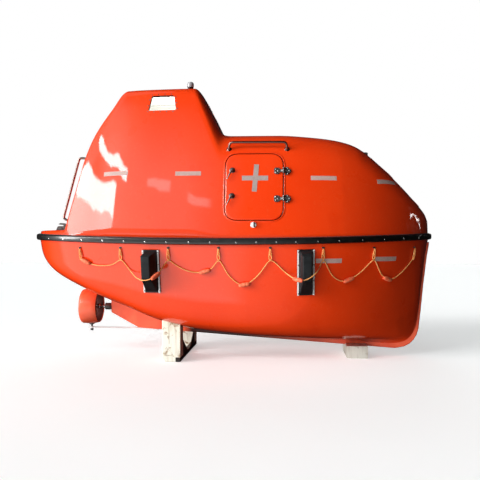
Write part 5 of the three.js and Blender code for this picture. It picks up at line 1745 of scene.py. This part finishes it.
# Bright openings in the sky: azimuth, elevation, half width, half height, softness (degrees), tilt, strength
OPENINGS = [
    (-144.0, 28.1, 18.0, 1.4, 0.4, 0.12, 15.0),
    (-144.0, 25.8, 18.0, 3.7, 0.5, 0.12, 9.0),
    (-130.5, 33.8, 9.5, 0.4, 0.3, 0.0, 24.0),
    (-108.5, 33.9, 3.0, 0.3, 0.3, 0.0, 3.5),
    (-100.0, 33.5, 1.0, 0.3, 0.3, 0.0, 3.0),
    (-117.0, 31.0, 14.0, 3.0, 9.0, 0.0, 1.6),
    (-135.0, -25.0, 35.0, 6.0, 9.0, 0.0, 1.2),
    (19.0, 12.1, 9.0, 0.08, 0.08, -0.262, 14.0),
]
KEY_AZIMUTH, KEY_ELEVATION = -155.0, 9.0
SKY_AZIMUTH, SKY_ELEVATION = -135.0, -22.0
SKY_BASE, SKY_SIDE = 0.03, 1.9


def direction(azimuth, elevation):
    a, e = math.radians(azimuth), math.radians(elevation)
    return Vector((math.cos(a) * math.cos(e), math.sin(a) * math.cos(e), math.sin(e)))


def maths(tree, operation, *values):
    return node(tree, "ShaderNodeMath", list(enumerate(values)), operation=operation).outputs[0]


def eased_range(tree, value, start, end, low, high):
    span = [("Value", value), ("From Min", start), ("From Max", end), ("To Min", low), ("To Max", high)]
    return node(tree, "ShaderNodeMapRange", span, interpolation_type="SMOOTHSTEP").outputs[0]


def inside(tree, value, middle, half, soft):
    """One within half of the middle, in degrees, that falls to nothing over a soft edge."""
    away = maths(tree, "ABSOLUTE", maths(tree, "SUBTRACT", value, math.radians(middle)))
    return eased_range(tree, away, math.radians(half + soft), math.radians(half), 0.0, 1.0)


def opening(tree, azimuth, elevation, middle, height, half_width, half_height, soft, tilt, strength):
    across = inside(tree, azimuth, middle, half_width, max(0.8, soft))
    leaning = maths(tree, "MULTIPLY", maths(tree, "SUBTRACT", azimuth, math.radians(middle)), tilt)
    up = inside(tree, maths(tree, "SUBTRACT", elevation, leaning), height, half_height, soft)
    return maths(tree, "MULTIPLY", maths(tree, "MULTIPLY", across, up), strength)


def sky_strength(tree, diffuse):
    """A slow rise towards the bright side, dimmer in reflections than as light, and the openings."""
    towards = node(tree, "ShaderNodeTexCoord").outputs["Generated"]
    parts = node(tree, "ShaderNodeSeparateXYZ", [(0, towards)]).outputs
    azimuth = maths(tree, "ARCTAN2", parts["Y"], parts["X"])
    ragged = node(tree, "ShaderNodeTexNoise", [("Vector", towards), ("Scale", 8.0), ("Detail", 2.0)])
    wobble = maths(tree, "MULTIPLY", maths(tree, "SUBTRACT", ragged.outputs[0], 0.5), 0.06)
    elevation = maths(tree, "ADD", maths(tree, "ARCSINE", parts["Z"]), wobble)
    facing = node(tree, "ShaderNodeVectorMath", [(0, towards), (1, direction(SKY_AZIMUTH, SKY_ELEVATION))],
                  operation="DOT_PRODUCT")
    lit = eased_range(tree, facing.outputs["Value"], 0.35, 1.0, SKY_BASE, SKY_SIDE)
    strength = maths(tree, "MULTIPLY", lit, maths(tree, "MULTIPLY_ADD", diffuse, 0.65, 0.35))
    for spec in OPENINGS:
        strength = maths(tree, "ADD", strength, opening(tree, azimuth, elevation, *spec))
    return strength


def build_world():
    """A sky that is brightest on one side, with a few openings, and a white backdrop before the camera."""
    world = bpy.data.worlds.new("world")
    bpy.context.scene.world = world
    world.use_nodes = True
    tree = world.node_tree
    tree.nodes.clear()
    rays = node(tree, "ShaderNodeLightPath").outputs
    strength = sky_strength(tree, rays["Is Diffuse Ray"])
    sky = node(tree, "ShaderNodeBackground", [("Color", (1, 1, 1, 1)), ("Strength", strength)])
    backdrop = node(tree, "ShaderNodeBackground", [("Color", (1, 1, 1, 1))])
    both = node(tree, "ShaderNodeMixShader", [(0, rays["Is Camera Ray"]), (1, sky.outputs[0]),
                                              (2, backdrop.outputs[0])])
    node(tree, "ShaderNodeOutputWorld", [(0, both.outputs[0])])


def add_light(name, kind, energy, location, target, size, glints=True):
    data = bpy.data.lights.new(name, kind)
    data.energy = energy
    if kind == "AREA":
        data.shape = "RECTANGLE"
        data.size, data.size_y = size
    else:
        data.angle = size
    light = linked(name, data)
    light.location = location
    light.rotation_euler = (Vector(target) - Vector(location)).to_track_quat("-Z", "Y").to_euler()
    light.visible_glossy = glints


def build_lights():
    add_light("key", "SUN", 2.0, direction(KEY_AZIMUTH, KEY_ELEVATION) * 10, (0, 0, 0), math.radians(24))
    add_light("overhead", "SUN", 0.35, (-6, -2, 8), (0, 0, 0), math.radians(50))
    add_light("fill", "SUN", 1.2, (-3, 8, 4), (0, 0, 0), math.radians(60), glints=False)
    add_light("cabin_lamp", "AREA", 22, (-0.80, -0.28, 3.08), (-0.80, 0.7, 3.06), (0.30, 0.20))
    bpy.context.scene.view_settings.view_transform = "Standard"


build_lifeline("starboard", 1)
build_lifeline("port", -1)
for build in (build_beckets, build_hull, build_canopy, build_keel, build_stern_tube, build_skeg_bolts,
              build_belt, build_belt_bolts, build_door_panels, build_door_hinges, build_door_latches,
              build_door_tapes, build_doorways, build_tapes, build_hatches, build_windows, build_stern_rails,
              build_lamp, build_nozzle_ring, build_nozzle_stock, build_stock_collar, build_propeller,
              build_propeller_shaft, build_sole_piece, build_skates, build_hooks, build_hook_well,
              build_cabin, build_posts, build_beam, build_chock, build_floor, build_world, build_lights):
    build()
